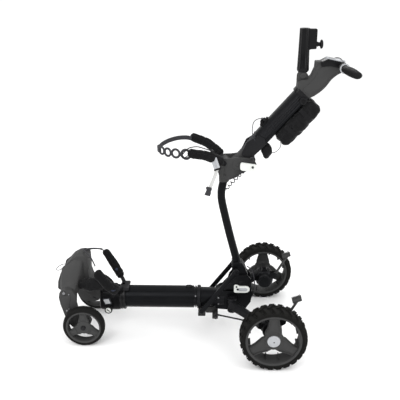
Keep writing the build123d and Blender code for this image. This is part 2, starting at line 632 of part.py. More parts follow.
def soft_pieces():
    """The strap of the upper cradle, its hook and buckle, and the pouch."""
    right = [(x, y) for x, y in STRAP_LINE]
    left = [(x, -y) for x, y in STRAP_LINE][::-1]
    line = right + [(STRAP_TIP_X, 0)] + left
    outer = Spline(*[(x, y, STRAP_Z - STRAP_H / 2) for x, y in line])
    inner_line = [(x + (STRAP_T if abs(y) < 90 else 1.5), y - math.copysign(STRAP_T, y) if y else 0) for x, y in line]
    inner = Spline(*[(x, y, STRAP_Z - STRAP_H / 2) for x, y in inner_line[::-1]])
    ends = Line(outer @ 1, inner @ 0) + Line(inner @ 1, outer @ 0)
    strap = extrude(make_face(outer + inner + ends), amount=STRAP_H, dir=(0, 0, 1))
    for x, r, hole in STRAP_RINGS:
        near = min(left, key=lambda p: abs(p[0] - x))
        strap += rod((x, near[1] - 6, STRAP_Z), (x, near[1] + 4, STRAP_Z), r)
        strap -= rod((x, near[1] - 30, STRAP_Z), (x, near[1] + 30, STRAP_Z), hole)
    strap -= parts["upper_pad_left"] + parts["upper_pad_right"]
    parts["bag_strap"] = max(strap.solids(), key=lambda s: s.volume)

    hook = pipe([(-372, -118, 869), (-362, -140, 898), (-318, -134, 906), (-262, -108, 880)], 2.2, 14)
    hook += Pos(-258, -106, 878) * Sphere(7)
    hook -= parts["upper_pad_left"] + parts["bag_strap"]
    parts["strap_hook"] = max(hook.solids(), key=lambda s: s.volume)

    buckle_y = -UPPER_ARM_LINE[1][1] - 34
    buckle = slab([(-262, 842), (-238, 850), (-226, 806), (-250, 798)], buckle_y - 5, buckle_y + 5)
    buckle = fillet(buckle.edges().filter_by(Axis.Y), 3)
    buckle += block(-252, -236, buckle_y + 5, -UPPER_ARM_LINE[1][1] - 8, 812, 828)
    parts["strap_buckle"] = buckle - parts["upper_pad_left"] - parts["upper_arm_left"]
    web = slab([(-246, 799), (-230, 799), (-260, 716), (-276, 718)], buckle_y - 1.2, buckle_y + 1.2)
    web += slab([(-280, 722), (-256, 716), (-264, 682), (-288, 688)], buckle_y - 2.5, buckle_y + 2.5)
    parts["strap_webbing"] = web - parts["strap_buckle"]

    pouch = shaft_bar(POUCH_START, POUCH_START + POUCH_LENGTH, POUCH_DEPTH, POUCH_W, 22)
    offset = SHAFT_DEPTH / 2 + POUCH_DEPTH / 2 + 1
    pouch = Pos(offset * SHAFT_DIR[1], 0, -offset * SHAFT_DIR[0]) * pouch
    parts["pouch"] = fillet(pouch.edges().filter_by(GeomType.LINE).group_by(SortBy.LENGTH)[0], 8)


# ---------------------------------------------------------------- handle


def handle():
    """The wide shaft, its hinge boot, the neck with the console, and the grips."""
    hx, hz = HANDLE_PIVOT
    end = SHAFT_START + SHAFT_LENGTH
    inner_d, inner_w = SHAFT_DEPTH - 2 * SHAFT_WALL, SHAFT_W - 2 * SHAFT_WALL
    shell = shaft_bar(SHAFT_START, end, SHAFT_DEPTH, SHAFT_W, 13)
    shell -= shaft_bar(SHAFT_START - 1, end + 1, inner_d, inner_w, 10)
    parts["shaft_profile"] = shell

    width = HEAD_GAP - GAP
    boot = across(hx, hz, KNUCKLE_R, -width, width)
    boot += shaft_bar(0, SHAFT_START, SHAFT_DEPTH - 12, 2 * width - 6, 8)
    for i in range(4):
        rib = SHAFT_START - 62 + 14 * i
        boot += shaft_bar(rib, rib + 7, SHAFT_DEPTH - 2, 2 * width - 2, 11)
    boot += shaft_bar(SHAFT_START - 8, SHAFT_START, SHAFT_DEPTH, SHAFT_W, 13)
    boot += shaft_bar(SHAFT_START, SHAFT_START + 30, inner_d - 0.4, inner_w - 0.4, 10)
    boot -= across(hx, hz, PIVOT_PIN_R + RUN, -40, 40)
    parts["shaft_boot"] = boot

    ux, uz = on_shaft(end, -SHAFT_DEPTH / 2)
    lx, lz = on_shaft(end, SHAFT_DEPTH / 2)
    half = SHAFT_W / 2
    neck = slab([(ux, uz), (84, 1144), (92, 1152), (122, 1152), (146, 1178), (156, 1216), (196, 1232), (250, 1219),
                 (272, 1203), (262, 1188), (234, 1174), (190, 1124), (lx, lz)], -half + 2, half - 2)
    gx, _, gz = GRIP_LINE[0]
    neck += across(gx, gz, BAR_R, -GRIP_LINE[0][1], GRIP_LINE[0][1])
    neck += shaft_bar(end - 30, end, inner_d - 0.4, inner_w - 0.4, 10)
    knuckle_w = 16
    for y0 in (-knuckle_w, knuckle_w - 6):
        ear = slab([(84, 1140), (84, 1172), (94, 1184), (114, 1184), (124, 1172), (124, 1140)], y0, y0 + 6)
        neck += ear
    neck -= block(70, 136, -knuckle_w + 6, knuckle_w - 6, 1152, 1200)
    neck += across(SOCKET_X, UMBRELLA_PIVOT_Z, 5, -knuckle_w - 2, knuckle_w + 2)
    neck -= block(197, 251, -21, 21, 1233, 1260)
    bar = pipe(GRIP_LINE, BAR_R - 3)
    neck += side(bar, 1) + side(bar, -1)
    neck -= rod(BUTTON_SEAT, on_button_axis(38), SPEED_BUTTON_R + GAP)
    grip = padded_bar(GRIP_LINE, GRIP_R, 14) - bar - block(0, 400, 0, GRIP_LINE[0][1] + 0.3, 1000, 1300)
    parts["grip_left"] = side(grip, -1)
    parts["grip_right"] = side(grip, 1)
    parts["handle_neck"] = neck
    parts["speed_button"] = rod(on_button_axis(SPEED_BUTTON_TRAVEL + 1), on_button_axis(23), SPEED_BUTTON_R)
    screen = slab([(199, 1232.5), (199, 1236), (249, 1224), (249, 1220.5)], -20, 20)
    parts["console_screen"] = screen - neck


def on_button_axis(height):
    """A point on the speed button's axis, so far above the bottom of its pocket."""
    tilt = math.radians(BUTTON_TILT)
    x, y, z = BUTTON_SEAT
    return x + height * math.sin(tilt), y, z + height * math.cos(tilt)


def umbrella_holder():
    """A tilting socket for an umbrella's shaft, with its clamp screw."""
    socket = Pos(SOCKET_X, 0, SOCKET_BOTTOM + 4) * Cone(SOCKET_R0, SOCKET_R1, SOCKET_TOP - SOCKET_BOTTOM - 4, align=LOW)
    reach = SOCKET_X + CLAMP_BLOCK_REACH
    socket += slab([(SOCKET_X + 8, SOCKET_TOP - 3), (reach, SOCKET_TOP - 3), (reach, SCREW_Z - 14),
                    (SOCKET_X + 8, SCREW_Z - 34)], -11, 11)
    socket -= Pos(SOCKET_X, 0, SOCKET_TOP - SOCKET_BORE_LENGTH) * Cylinder(SOCKET_BORE_R, 400, align=LOW)
    tongue = 10 - GAP
    socket += across(SOCKET_X, UMBRELLA_PIVOT_Z, 12, -tongue, tongue)
    socket += block(SOCKET_X - 12, SOCKET_X + 12, -tongue, tongue, UMBRELLA_PIVOT_Z, SOCKET_BOTTOM + 6)
    socket -= across(SOCKET_X, UMBRELLA_PIVOT_Z, 5 + RUN, -20, 20)
    screw_start = SOCKET_X + SOCKET_BORE_R + 2
    socket -= rod((screw_start - 8, 0, SCREW_Z), (reach + 2, 0, SCREW_Z), SCREW_R + RUN)
    parts["umbrella_socket"] = socket
    screw = rod((screw_start, 0, SCREW_Z), (reach + 3, 0, SCREW_Z), SCREW_R)
    head = rod((reach + 1, 0, SCREW_Z), (reach + 26, 0, SCREW_Z), SCREW_HEAD_R)
    parts["umbrella_screw"] = screw + fillet(head.edges().filter_by(GeomType.CIRCLE), 3)


# ---------------------------------------------------------------- cords and screws

MOTOR_CABLE_ROUTE = [(-98, 0, 312), (-86, 0, 304), (-74, 0, 286), (-66, 0, 258), (-62, 0, 226), (-62, 0, 194),
                     (-66, 0, 168), (-74, 0, 156)]
COIL_ROUTE = [(-84, -51, 846), (-94, -52, 822), (-112, -52, 796), (-134, -52, 770), (-160, -49, 742),
              (-184, -43, 716), (-198, -34, 690)]


def cords():
    """The motor cable, the curly cable across the handle's hinge, and the elastic cord."""
    parts["motor_cable"] = pipe(MOTOR_CABLE_ROUTE, CABLE_R)
    parts["coil_cable"] = pipe(COIL_ROUTE, COIL_R)
    parts["lower_bungee"] = pipe(BUNGEE_ROUTE, BUNGEE_R)
    for name, route in (("motor cable", MOTOR_CABLE_ROUTE), ("coil cable", COIL_ROUTE), ("bungee", BUNGEE_ROUTE)):
        print(name, "bend radii", [round(r, 1) for r in bend_radii(route)])


def frame_screws():
    """Screws on the fork's outer sides, as one group."""
    screws = []
    for x, z in ((-898, 232), (-888, 148)):
        for sign in (1, -1):
            screws.append(side(across(x, z, 5, LEG_Y1, LEG_Y1 + 2.5), sign))
    screws.append(across(-745, 180, 4.5, -KNUCKLE_HALF_W - 3, -KNUCKLE_HALF_W))
    parts["frame_screws"] = Compound(screws)


for name, sign in (("left", -1), ("right", 1)):
    rear_wheel(name, sign)
    front_wheel(name, sign)
front_fork()
main_tube()
front_knuckle()
rear_bracket()
braces()
rear_arms()
post()
lower_cradle()
soft_pieces()
handle()
umbrella_holder()
cords()
frame_screws()

# The origin goes under the middle of the trolley, measured without its free cords.
CORDS = ("motor_cable", "coil_cable", "lower_bungee")
boxes = [shape.bounding_box() for name, shape in parts.items() if name not in CORDS]
SHIFT_X = -(min(b.min.X for b in boxes) + max(b.max.X for b in boxes)) / 2

os.makedirs("parts", exist_ok=True)
for name, shape in parts.items():
    moved = Pos(SHIFT_X, 0, 0) * shape
    solids = moved.solids()
    export_step(solids[0] if len(solids) == 1 else Compound(list(solids)), f"parts/{name}.step")
print("nodes", len(parts), "shift", round(SHIFT_X, 3))
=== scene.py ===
"""The look of a four-wheel golf trolley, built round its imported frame.

Sizes are in millimetres in the trolley's own layout: X from front to rear with the rear axle
at 0, Y from the left side to the right side with the middle at 0, and Z up from the ground.
Layout.at turns a place of the layout into the frame's metres.
"""

from __future__ import annotations

import json
import logging
import math
from dataclasses import dataclass, field
from enum import Enum
from typing import Callable, Iterable, Sequence

import bmesh
import bpy
from mathutils import Matrix, Vector, noise

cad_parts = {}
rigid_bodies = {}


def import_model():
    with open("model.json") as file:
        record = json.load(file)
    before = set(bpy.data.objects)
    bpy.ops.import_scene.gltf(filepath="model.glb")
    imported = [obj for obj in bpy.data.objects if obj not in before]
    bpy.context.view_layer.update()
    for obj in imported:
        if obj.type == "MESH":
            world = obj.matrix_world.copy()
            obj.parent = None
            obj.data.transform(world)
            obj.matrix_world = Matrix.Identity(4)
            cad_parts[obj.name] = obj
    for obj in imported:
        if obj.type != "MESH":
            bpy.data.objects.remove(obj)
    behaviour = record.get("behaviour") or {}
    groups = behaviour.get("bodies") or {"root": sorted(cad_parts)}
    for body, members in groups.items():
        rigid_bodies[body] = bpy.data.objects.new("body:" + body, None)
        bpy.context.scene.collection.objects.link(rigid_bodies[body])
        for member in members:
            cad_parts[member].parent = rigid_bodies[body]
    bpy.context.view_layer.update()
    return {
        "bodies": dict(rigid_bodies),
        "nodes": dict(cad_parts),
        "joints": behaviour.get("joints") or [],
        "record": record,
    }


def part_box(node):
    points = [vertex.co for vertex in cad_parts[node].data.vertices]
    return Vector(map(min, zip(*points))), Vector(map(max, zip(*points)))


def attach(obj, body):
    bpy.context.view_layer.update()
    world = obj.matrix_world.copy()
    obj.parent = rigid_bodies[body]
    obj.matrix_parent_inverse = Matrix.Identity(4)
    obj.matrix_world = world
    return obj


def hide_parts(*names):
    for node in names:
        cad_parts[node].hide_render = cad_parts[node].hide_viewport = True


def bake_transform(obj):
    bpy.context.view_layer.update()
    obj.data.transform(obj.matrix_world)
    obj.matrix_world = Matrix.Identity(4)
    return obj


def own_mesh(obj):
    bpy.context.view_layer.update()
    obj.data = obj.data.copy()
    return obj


LOG = logging.getLogger("trolley")
Point = Sequence[float]


# ------------------------------------------------------------------ layout and paths


class Layout:
    """Turns the trolley's layout in millimetres into the frame's metres."""

    axle_x = 0.0

    @classmethod
    def measure(cls) -> None:
        """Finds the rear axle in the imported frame."""
        low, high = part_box("rear_tyre_left")
        cls.axle_x = (low.x + high.x) / 2

    @classmethod
    def at(cls, x: float, y: float, z: float) -> Vector:
        """A place of the layout, in metres."""
        return Vector((x * 0.001 + cls.axle_x, y * 0.001, z * 0.001))


def smooth(points: Sequence[Point], per: int = 8) -> list[Vector]:
    """A soft curve through the points.

    Args:
        points: Places that the curve passes through.
        per: Steps between two places.

    Returns:
        Points along the curve.
    """
    pts = [Vector(p) for p in points]
    ends = [2 * pts[0] - pts[1], *pts, 2 * pts[-1] - pts[-2]]
    found = []
    for i in range(1, len(ends) - 2):
        a, b, c, d = ends[i - 1 : i + 3]
        for s in range(per):
            t = s / per
            found.append(
                0.5 * (2 * b + (c - a) * t + (2 * a - 5 * b + 4 * c - d) * t * t + (3 * b - a - 3 * c + d) * t**3)
            )
    found.append(pts[-1])
    return found


def rounded_rect(width: float, height: float, radius: float, steps: int = 5) -> list[tuple[float, float]]:
    """The outline of a rectangle with round corners, centred on 0.

    Args:
        width: Size along the first direction.
        height: Size along the second direction.
        radius: Radius of the corners.
        steps: Faces in each corner.

    Returns:
        Points round the outline.
    """
    points = []
    for quarter, (sx, sy) in enumerate(((1, 1), (-1, 1), (-1, -1), (1, -1))):
        cx, cy = sx * (width / 2 - radius), sy * (height / 2 - radius)
        for i in range(steps + 1):
            a = math.pi / 2 * (quarter + i / steps)
            points.append((cx + radius * math.cos(a), cy + radius * math.sin(a)))
    return points


def oval(width: float, height: float, steps: int = 16) -> list[tuple[float, float]]:
    """Points round an ellipse of that width and height."""
    turn = 2 * math.pi / steps
    return [(width / 2 * math.cos(i * turn), height / 2 * math.sin(i * turn)) for i in range(steps)]


def eased(outline: Sequence[Point], radius: float, steps: int = 4) -> list[tuple[float, float]]:
    """An outline with its corners rounded.

    Args:
        outline: Corners of a closed flat outline.
        radius: Largest radius of a corner.
        steps: Faces in each corner.

    Returns:
        Points round the softer outline.
    """
    found = []
    count = len(outline)
    for i in range(count):
        here, before, after = (Vector(outline[j % count]) for j in (i, i - 1, i + 1))
        u, v = (before - here), (after - here)
        half = u.angle(v, math.pi) / 2
        reach = min(radius / max(math.tan(half), 0.05), 0.45 * u.length, 0.45 * v.length)
        start, end = here + u.normalized() * reach, here + v.normalized() * reach
        for s in range(steps + 1):
            t = s / steps
            p = start * (1 - t) ** 2 + here * 2 * t * (1 - t) + end * t * t
            found.append((p.x, p.y))
    return found


# ------------------------------------------------------------------ finishes


class Net:
    """Adds and joins the nodes of one tree."""

    def __init__(self, tree: bpy.types.NodeTree) -> None:
        """Keeps the tree."""
        self.tree = tree

    def add(self, kind: str, sockets: dict | None = None, **settings: object) -> bpy.types.Node:
        """Adds a node.

        Args:
            kind: The node's type.
            sockets: Values for its inputs, or outputs to join to them.
            **settings: Properties of the node itself.

        Returns:
            The node.
        """
        node = self.tree.nodes.new(kind)
        for key, value in settings.items():
            setattr(node, key, value)
        for key, value in (sockets or {}).items():
            if isinstance(value, bpy.types.NodeSocket):
                self.tree.links.new(value, node.inputs[key])
            else:
                node.inputs[key].default_value = value
        return node


class Pattern(Enum):
    """The fine surface that a finish has."""

    GRAIN = "grain"
    BRUSHED = "brushed"
    WEAVE = "weave"
    LEATHER = "leather"
    CRUMPLED = "crumpled"


@dataclass(frozen=True)
class Finish:
    """A finish, with its colours, gloss and fine surface."""

    slot: str
    name: str
    colour: tuple[float, float, float]
    shade: tuple[float, float, float]
    roughness: float
    spread: float = 0.12
    metallic: float = 0.0
    pattern: Pattern = Pattern.GRAIN
    size: float = 0.9
    bump: float = 0.25
    depth: float = 0.15
    sheen: float = 0.0
    coat: float = 0.0
    shine: float = 0.06
    wear: float = 0.25
    worn: tuple[float, float, float] = (0.030, 0.030, 0.032)

    def material(self) -> bpy.types.Material:
        """The material of this finish, made once."""
        found = bpy.data.materials.get(self.name)
        return found if found else self._make()

    def _make(self) -> bpy.types.Material:
        """Builds the material's nodes."""
        made = bpy.data.materials.new(self.name)
        made.use_nodes = True
        made.node_tree.nodes.clear()
        net = Net(made.node_tree)
        place = net.add("ShaderNodeTexCoord").outputs["Object"]
        broad = net.add("ShaderNodeTexNoise", {"Vector": place, "Scale": 17.0, "Detail": 5.0}).outputs["Fac"]
        fine = net.add("ShaderNodeTexNoise", {"Vector": place, "Scale": 260.0, "Detail": 3.0}).outputs["Fac"]
        tint = net.add(
            "ShaderNodeMix", {"Factor": broad, "A": (*self.colour, 1), "B": (*self.shade, 1)},
            data_type="RGBA"
        )
        rubbed = net.add("ShaderNodeAttribute", attribute_name="wear").outputs["Fac"]
        patchy = net.add(
            "ShaderNodeMapRange",
            {"Value": fine, "From Min": 0.35, "From Max": 0.7, "To Min": 0.15, "To Max": self.wear},
        ).outputs["Result"]
        worn = net.add("ShaderNodeMath", {0: rubbed, 1: patchy}, operation="MULTIPLY").outputs[0]
        colour = net.add(
            "ShaderNodeMix",
            {"Factor": worn, "A": tint.outputs["Result"], "B": (*self.worn, 1)},
            data_type="RGBA",
        ).outputs["Result"]
        low, high = max(0.04, self.roughness - self.spread), min(1.0, self.roughness + self.spread)
        rough = net.add(
            "ShaderNodeMapRange",
            {"Value": broad, "From Min": 0.3, "From Max": 0.7, "To Min": low, "To Max": high},
        ).outputs["Result"]
        bump = net.add(
            "ShaderNodeBump",
            {"Strength": self.bump, "Distance": self.depth * 0.001, "Height": self._height(net, place, fine)},
        )
        shader = net.add(
            "ShaderNodeBsdfPrincipled",
            {
                "Base Color": colour,
                "Roughness": rough,
                "Metallic": self.metallic,
                "Normal": bump.outputs["Normal"],
                "Sheen Weight": self.sheen,
                "Sheen Roughness": 0.45,
                "Coat Weight": self.coat,
                "Coat Roughness": 0.12,
                "Specular IOR Level": self.shine,
            },
        )
        net.add("ShaderNodeOutputMaterial", {"Surface": shader.outputs["BSDF"]})
        return made

    def _height(self, net: Net, place: bpy.types.NodeSocket,
                fine: bpy.types.NodeSocket) -> bpy.types.NodeSocket:
        """The fine surface as a height.

        Args:
            net: Adds the nodes.
            place: Coordinates on the piece.
            fine: A fine noise.

        Returns:
            The height's socket.
        """
        scale = 1000.0 / self.size
        if self.pattern is Pattern.BRUSHED:
            turned = net.add("ShaderNodeMapping",
                             {"Vector": place, "Scale": (0.02, 1.0, 1.0)}).outputs["Vector"]
            return net.add("ShaderNodeTexNoise",
                           {"Vector": turned, "Scale": scale, "Detail": 2.0}).outputs["Fac"]
        if self.pattern is Pattern.WEAVE:
            cells = net.add("ShaderNodeTexVoronoi", {"Vector": place, "Scale": scale, "Randomness": 0.12})
            soft = net.add("ShaderNodeTexNoise",
                           {"Vector": place, "Scale": 70.0, "Detail": 4.0}).outputs["Fac"]
            return net.add(
                "ShaderNodeMath", {0: soft, 1: 3.0, 2: cells.outputs["Distance"]}, operation="MULTIPLY_ADD"
            ).outputs[0]
        if self.pattern is Pattern.LEATHER:
            cells = net.add(
                "ShaderNodeTexVoronoi", {"Vector": place, "Scale": scale}, feature="DISTANCE_TO_EDGE"
            ).outputs["Distance"]
            return net.add("ShaderNodeMath", {0: cells, 1: 0.25}, operation="MINIMUM").outputs[0]
        if self.pattern is Pattern.CRUMPLED:
            cells = net.add("ShaderNodeTexVoronoi", {"Vector": place, "Scale": scale, "Randomness": 0.1})
            folds = net.add(
                "ShaderNodeTexNoise", {"Vector": place, "Scale": 42.0, "Detail": 6.0, "Distortion": 1.2}
            ).outputs["Fac"]
            return net.add(
                "ShaderNodeMath", {0: folds, 1: 9.0, 2: cells.outputs["Distance"]}, operation="MULTIPLY_ADD"
            ).outputs[0]
        grain = net.add("ShaderNodeTexNoise", {"Vector": place, "Scale": scale, "Detail": 2.0}).outputs["Fac"]
        return net.add("ShaderNodeMath", {0: fine, 1: 0.5, 2: grain}, operation="MULTIPLY_ADD").outputs[0]


POWDER = Finish("frame_black", "powder_black", (0.0077, 0.0077, 0.0084), (0.0119, 0.0119, 0.0133), 0.42,
                coat=0.08)
ALLOY = Finish(
    "alloy_black", "anodised_black", (0.0055, 0.0058, 0.0066), (0.0094, 0.0099, 0.0110), 0.34, 0.08,
    metallic=0.55, pattern=Pattern.BRUSHED, size=0.5, bump=0.18, depth=0.05, wear=0.5,
)
MOULDED = Finish(
    "moulded_black", "moulded_black", (0.0034, 0.0034, 0.0038), (0.0057, 0.0057, 0.0061), 0.52, 0.1,
    size=0.7, bump=0.3
)
GLOSS = Finish(
    "gloss_black", "smooth_black", (0.0040, 0.0040, 0.0045), (0.0070, 0.0070, 0.0075), 0.30, 0.08, size=1.4,
    bump=0.08,
    coat=0.12,
)
TYRE = Finish(
    "tyre_rubber", "tread_rubber", (0.0050, 0.0050, 0.0050), (0.0101, 0.0097, 0.0092), 0.74, 0.1, size=1.1,
    bump=0.5,
    depth=0.3, wear=0.45, worn=(0.018, 0.018, 0.017),
)
RUBBER = Finish(
    "soft_rubber", "soft_rubber", (0.0050, 0.0050, 0.0055), (0.0090, 0.0090, 0.0090), 0.58, 0.1, size=0.8,
    bump=0.3,
    worn=(0.025, 0.025, 0.025),
)
GRIP = Finish(
    "soft_rubber", "grip_leather", (0.0060, 0.0060, 0.0065), (0.0120, 0.0115, 0.0115), 0.6, 0.12,
    pattern=Pattern.LEATHER, size=3.2, bump=0.7, depth=0.5,
)
PADDING = Finish(
    "pad_fabric", "padded_cloth", (0.0046, 0.0046, 0.0050), (0.0088, 0.0088, 0.0092), 0.85, 0.08,
    pattern=Pattern.WEAVE, size=1.1, bump=0.55, depth=0.4, sheen=0.08, wear=0.2,
)
NYLON = Finish(
    "pouch_fabric", "pouch_nylon", (0.0045, 0.0045, 0.0050), (0.0100, 0.0100, 0.0105), 0.48, 0.14,
    pattern=Pattern.CRUMPLED, size=0.9, bump=0.6, depth=0.8, sheen=0.05, wear=0.2,
)
WHITE = Finish(
    "white_plastic", "lever_white", (0.74, 0.76, 0.73), (0.66, 0.68, 0.65), 0.36, 0.06, size=1.6, bump=0.12,
    coat=0.2, shine=0.5, wear=0.1, worn=(0.5, 0.5, 0.48),
)
GREY = Finish(
    "grey_plastic", "pale_grey", (0.42, 0.43, 0.45), (0.33, 0.34, 0.36), 0.42, 0.1, size=1.0, bump=0.25,
    shine=0.5, wear=0.2, worn=(0.55, 0.55, 0.55),
)
STEEL = Finish(
    "steel", "zinc_steel", (0.20, 0.20, 0.21), (0.12, 0.12, 0.13), 0.34, 0.1, metallic=0.9,
    pattern=Pattern.BRUSHED, size=0.4, bump=0.2, depth=0.05, wear=0.4, worn=(0.4, 0.4, 0.4),
)
DARK_STEEL = Finish(
    "steel", "blackened_steel", (0.0180, 0.0180, 0.0192), (0.0300, 0.0300, 0.0312), 0.36, 0.1, metallic=0.8,
    pattern=Pattern.BRUSHED, size=0.4, bump=0.2, depth=0.05, wear=0.5,
)
WEBBING = Finish(
    "webbing", "pale_webbing", (0.56, 0.56, 0.55), (0.44, 0.44, 0.43), 0.8, 0.08, pattern=Pattern.WEAVE,
    size=1.3, bump=0.7, depth=0.4, sheen=0.2, wear=0.1, worn=(0.6, 0.6, 0.6),
)
SCREEN = Finish(
    "screen_glass", "display_window", (0.30, 0.31, 0.32), (0.24, 0.25, 0.26), 0.16, 0.05, size=2.0, bump=0.05,
    coat=0.6, wear=0.0,
)
DIM = Finish("grey_plastic", "dim_grey", (0.045, 0.047, 0.052), (0.03, 0.031, 0.034), 0.5, 0.1, size=1.0,
             bump=0.2)
SLATE = Finish(
    "pad_fabric", "slate_patch", (0.035, 0.045, 0.075), (0.022, 0.028, 0.045), 0.7, 0.1,
    pattern=Pattern.WEAVE,
    size=1.2, bump=0.4, depth=0.3, sheen=0.1,
)
BATTERY = Finish("battery_case", "battery_case", (0.10, 0.10, 0.11), (0.13, 0.13, 0.14), 0.5)
BY_SLOT = {
    f.slot: f
    for f in (
        GRIP, DARK_STEEL, POWDER, ALLOY, MOULDED, GLOSS, TYRE, RUBBER, PADDING, NYLON, WHITE, GREY, STEEL,
        WEBBING, SCREEN, BATTERY,
    )
}


# ------------------------------------------------------------------ mesh making


def frames_along(path: Sequence[Vector], up: Vector) -> list[tuple[Vector, Vector]]:
    """Two directions across a path at each of its points, carried along without twist.

    Args:
        path: Points along it.
        up: About where the first direction points at the start.

    Returns:
        Pairs of directions.
    """
    found = []
    first = up
    for i in range(len(path)):
        ahead = (path[min(i + 1, len(path) - 1)] - path[max(i - 1, 0)]).normalized()
        first = (first - ahead * first.dot(ahead)).normalized()
        found.append((first, ahead.cross(first)))
    return found


class Form:
    """A mesh while it is shaped, in the layout's millimetres."""

    def __init__(self, side: int = 1) -> None:
        """Starts empty; side -1 puts everything on the left of the trolley."""
        self.bm = bmesh.new()
        self.uv = self.bm.loops.layers.uv.new("UVMap")
        self.side = side

    def _vert(self, p: Point) -> bmesh.types.BMVert:
        """Adds a corner at a place of the layout."""
        return self.bm.verts.new(Layout.at(p[0], p[1] * self.side, p[2]))

    def loft(self, rings: Sequence[Sequence[Point]], caps: bool = True, closed: bool = False) -> "Form":
        """Skins a row of rings.

        Args:
            rings: Rings with the same number of points.
            caps: Whether the two ends are closed.
            closed: Whether the last ring joins the first.

        Returns:
            The form.
        """
        grid = [[self._vert(p) for p in ring] for ring in rings]
        count = len(grid[0])
        around = [0.0]
        for j in range(count):
            around.append(around[-1] + (grid[0][(j + 1) % count].co - grid[0][j].co).length)
        along = 0.0
        for i in range(len(grid) if closed else len(grid) - 1):
            a, b = grid[i], grid[(i + 1) % len(grid)]
            step = (b[0].co - a[0].co).length
            for j in range(count):
                k = (j + 1) % count
                face = self.bm.faces.new((a[j], a[k], b[k], b[j]))
                corners = (
                    (around[j], along), (around[j + 1], along), (around[j + 1], along + step),
                    (around[j], along + step)
                )
                for loop, place in zip(face.loops, corners):
                    loop[self.uv].uv = place
            along += step
        if caps and not closed:
            self.bm.faces.new(grid[0][::-1])
            self.bm.faces.new(grid[-1])
        return self

    def sweep(
        self,
        path: Sequence[Point],
        section: Sequence[Point],
        up: Point = (0, 1, 0),
        scale: Callable[[float], tuple[float, float]] | None = None,
        closed: bool = False,
    ) -> "Form":
        """Moves a section along a path.

        Args:
            path: Points of the path.
            section: The section's points, along up and across it.
            up: Direction of the section's first size.
            scale: Gives the section's two scales for a share of the path.
            closed: Whether the path closes on itself.

        Returns:
            The form.
        """
        pts = [Vector(p) for p in path]
        rings = []
        for i, (p, (n, b)) in enumerate(zip(pts, frames_along(pts, Vector(up)))):
            su, sv = scale(i / (len(pts) - 1)) if scale else (1.0, 1.0)
            rings.append([p + n * u * su + b * v * sv for u, v in section])
        return self.loft(rings, closed=closed)

    def tube(self, path: Sequence[Point], radius: float, sides: int = 14, dome: bool = False) -> "Form":
        """A round bar along a path.

        Args:
            path: Points of the path.
            radius: The bar's radius.
            sides: Faces round it.
            dome: Whether its ends are round.

        Returns:
            The form.
        """
        pts = [Vector(p) for p in path]
        sizes = [1.0] * len(pts)
        if dome:
            first, last = (pts[0] - pts[1]).normalized(), (pts[-1] - pts[-2]).normalized()
            head = [(pts[0] + first * radius * math.sin(a), math.cos(a)) for a in (1.45, 1.2, 0.8, 0.4)]
            tail = [(pts[-1] + last * radius * math.sin(a), math.cos(a)) for a in (0.4, 0.8, 1.2, 1.45)]
            sizes = [s for _, s in head] + sizes + [s for _, s in tail]
            pts = [p for p, _ in head] + pts + [p for p, _ in tail]
        up = Vector((0.13, 0.97, 0.2))
        rings = []
        for p, s, (n, b) in zip(pts, sizes, frames_along(pts, up)):
            rings.append([p + (n * u + b * v) * s for u, v in oval(2 * radius, 2 * radius, sides)])
        return self.loft(rings)

    def lathe(
        self,
        profile: Sequence[Point],
        centre: Point,
        axis: Point = (0, 1, 0),
        steps: int = 48,
        closed: bool = False,
    ) -> "Form":
        """Turns a profile round an axis.

        Args:
            profile: Pairs of a radius and a distance along the axis.
            centre: The axis's start.
            axis: The axis's direction.
            steps: Faces round it.
            closed: Whether the profile is a closed loop.

        Returns:
            The form.
        """
        c, a = Vector(centre), Vector(axis).normalized()
        n = a.orthogonal().normalized()
        b = a.cross(n)
        rings = []
        for r, t in profile:
            if r < 1e-6:
                rings.append([self._vert(c + a * t)])
                continue
            turn = 2 * math.pi / steps
            rings.append(
                [self._vert(c + a * t + (n * math.cos(j * turn) + b * math.sin(j * turn)) * r) for j in range(steps)]
            )
        pairs = list(zip(rings, rings[1:])) + ([(rings[-1], rings[0])] if closed else [])
        for p, q in pairs:
            for j in range(steps):
                k = (j + 1) % steps
                corners = [p[j % len(p)], p[k % len(p)], q[k % len(q)], q[j % len(q)]]
                unique = list(dict.fromkeys(corners))
                if len(unique) > 2:
                    self.bm.faces.new(unique)
        for ring, first in ((rings[0], True), (rings[-1], False)):
            if not closed and len(ring) > 1:
                self.bm.faces.new(ring[::-1] if first else ring)
        return self

    def prism(
        self, outline: Sequence[Point], y0: float, y1: float, bevel: float = 1.0, segments: int = 2,
        flat: bool = False
    ) -> "Form":
        """Extrudes an outline, with rounds on its edges.

        Args:
            outline: Its corners in X and Z, or in X and Y when flat.
            y0: Start along Y, or along Z when flat.
            y1: End along Y, or along Z when flat.
            bevel: Size of the rounds.
            segments: Faces in each round.
            flat: Whether the outline lies flat.

        Returns:
            The form.
        """
        sub = bmesh.new()
        ends = []
        for level in (y0, y1):
            places = [(x, v, level) if flat else (x, level, v) for x, v in outline]
            ends.append([sub.verts.new(Layout.at(x, y * self.side, z)) for x, y, z in places])
        sub.faces.new(ends[0])
        sub.faces.new(ends[1][::-1])
        count = len(outline)
        for i in range(count):
            k = (i + 1) % count
            sub.faces.new((ends[0][k], ends[0][i], ends[1][i], ends[1][k]))
        bmesh.ops.recalc_face_normals(sub, faces=sub.faces)
        if bevel:
            bmesh.ops.triangulate(sub, faces=[f for f in sub.faces if len(f.verts) > 4])
            edges = [e for e in sub.edges if e.calc_face_angle(0) > 0.35]
            bmesh.ops.bevel(
                sub, geom=edges, offset=bevel * 0.001, segments=segments, profile=0.5, affect="EDGES",
                clamp_overlap=True,
            )
        return self.take(sub)

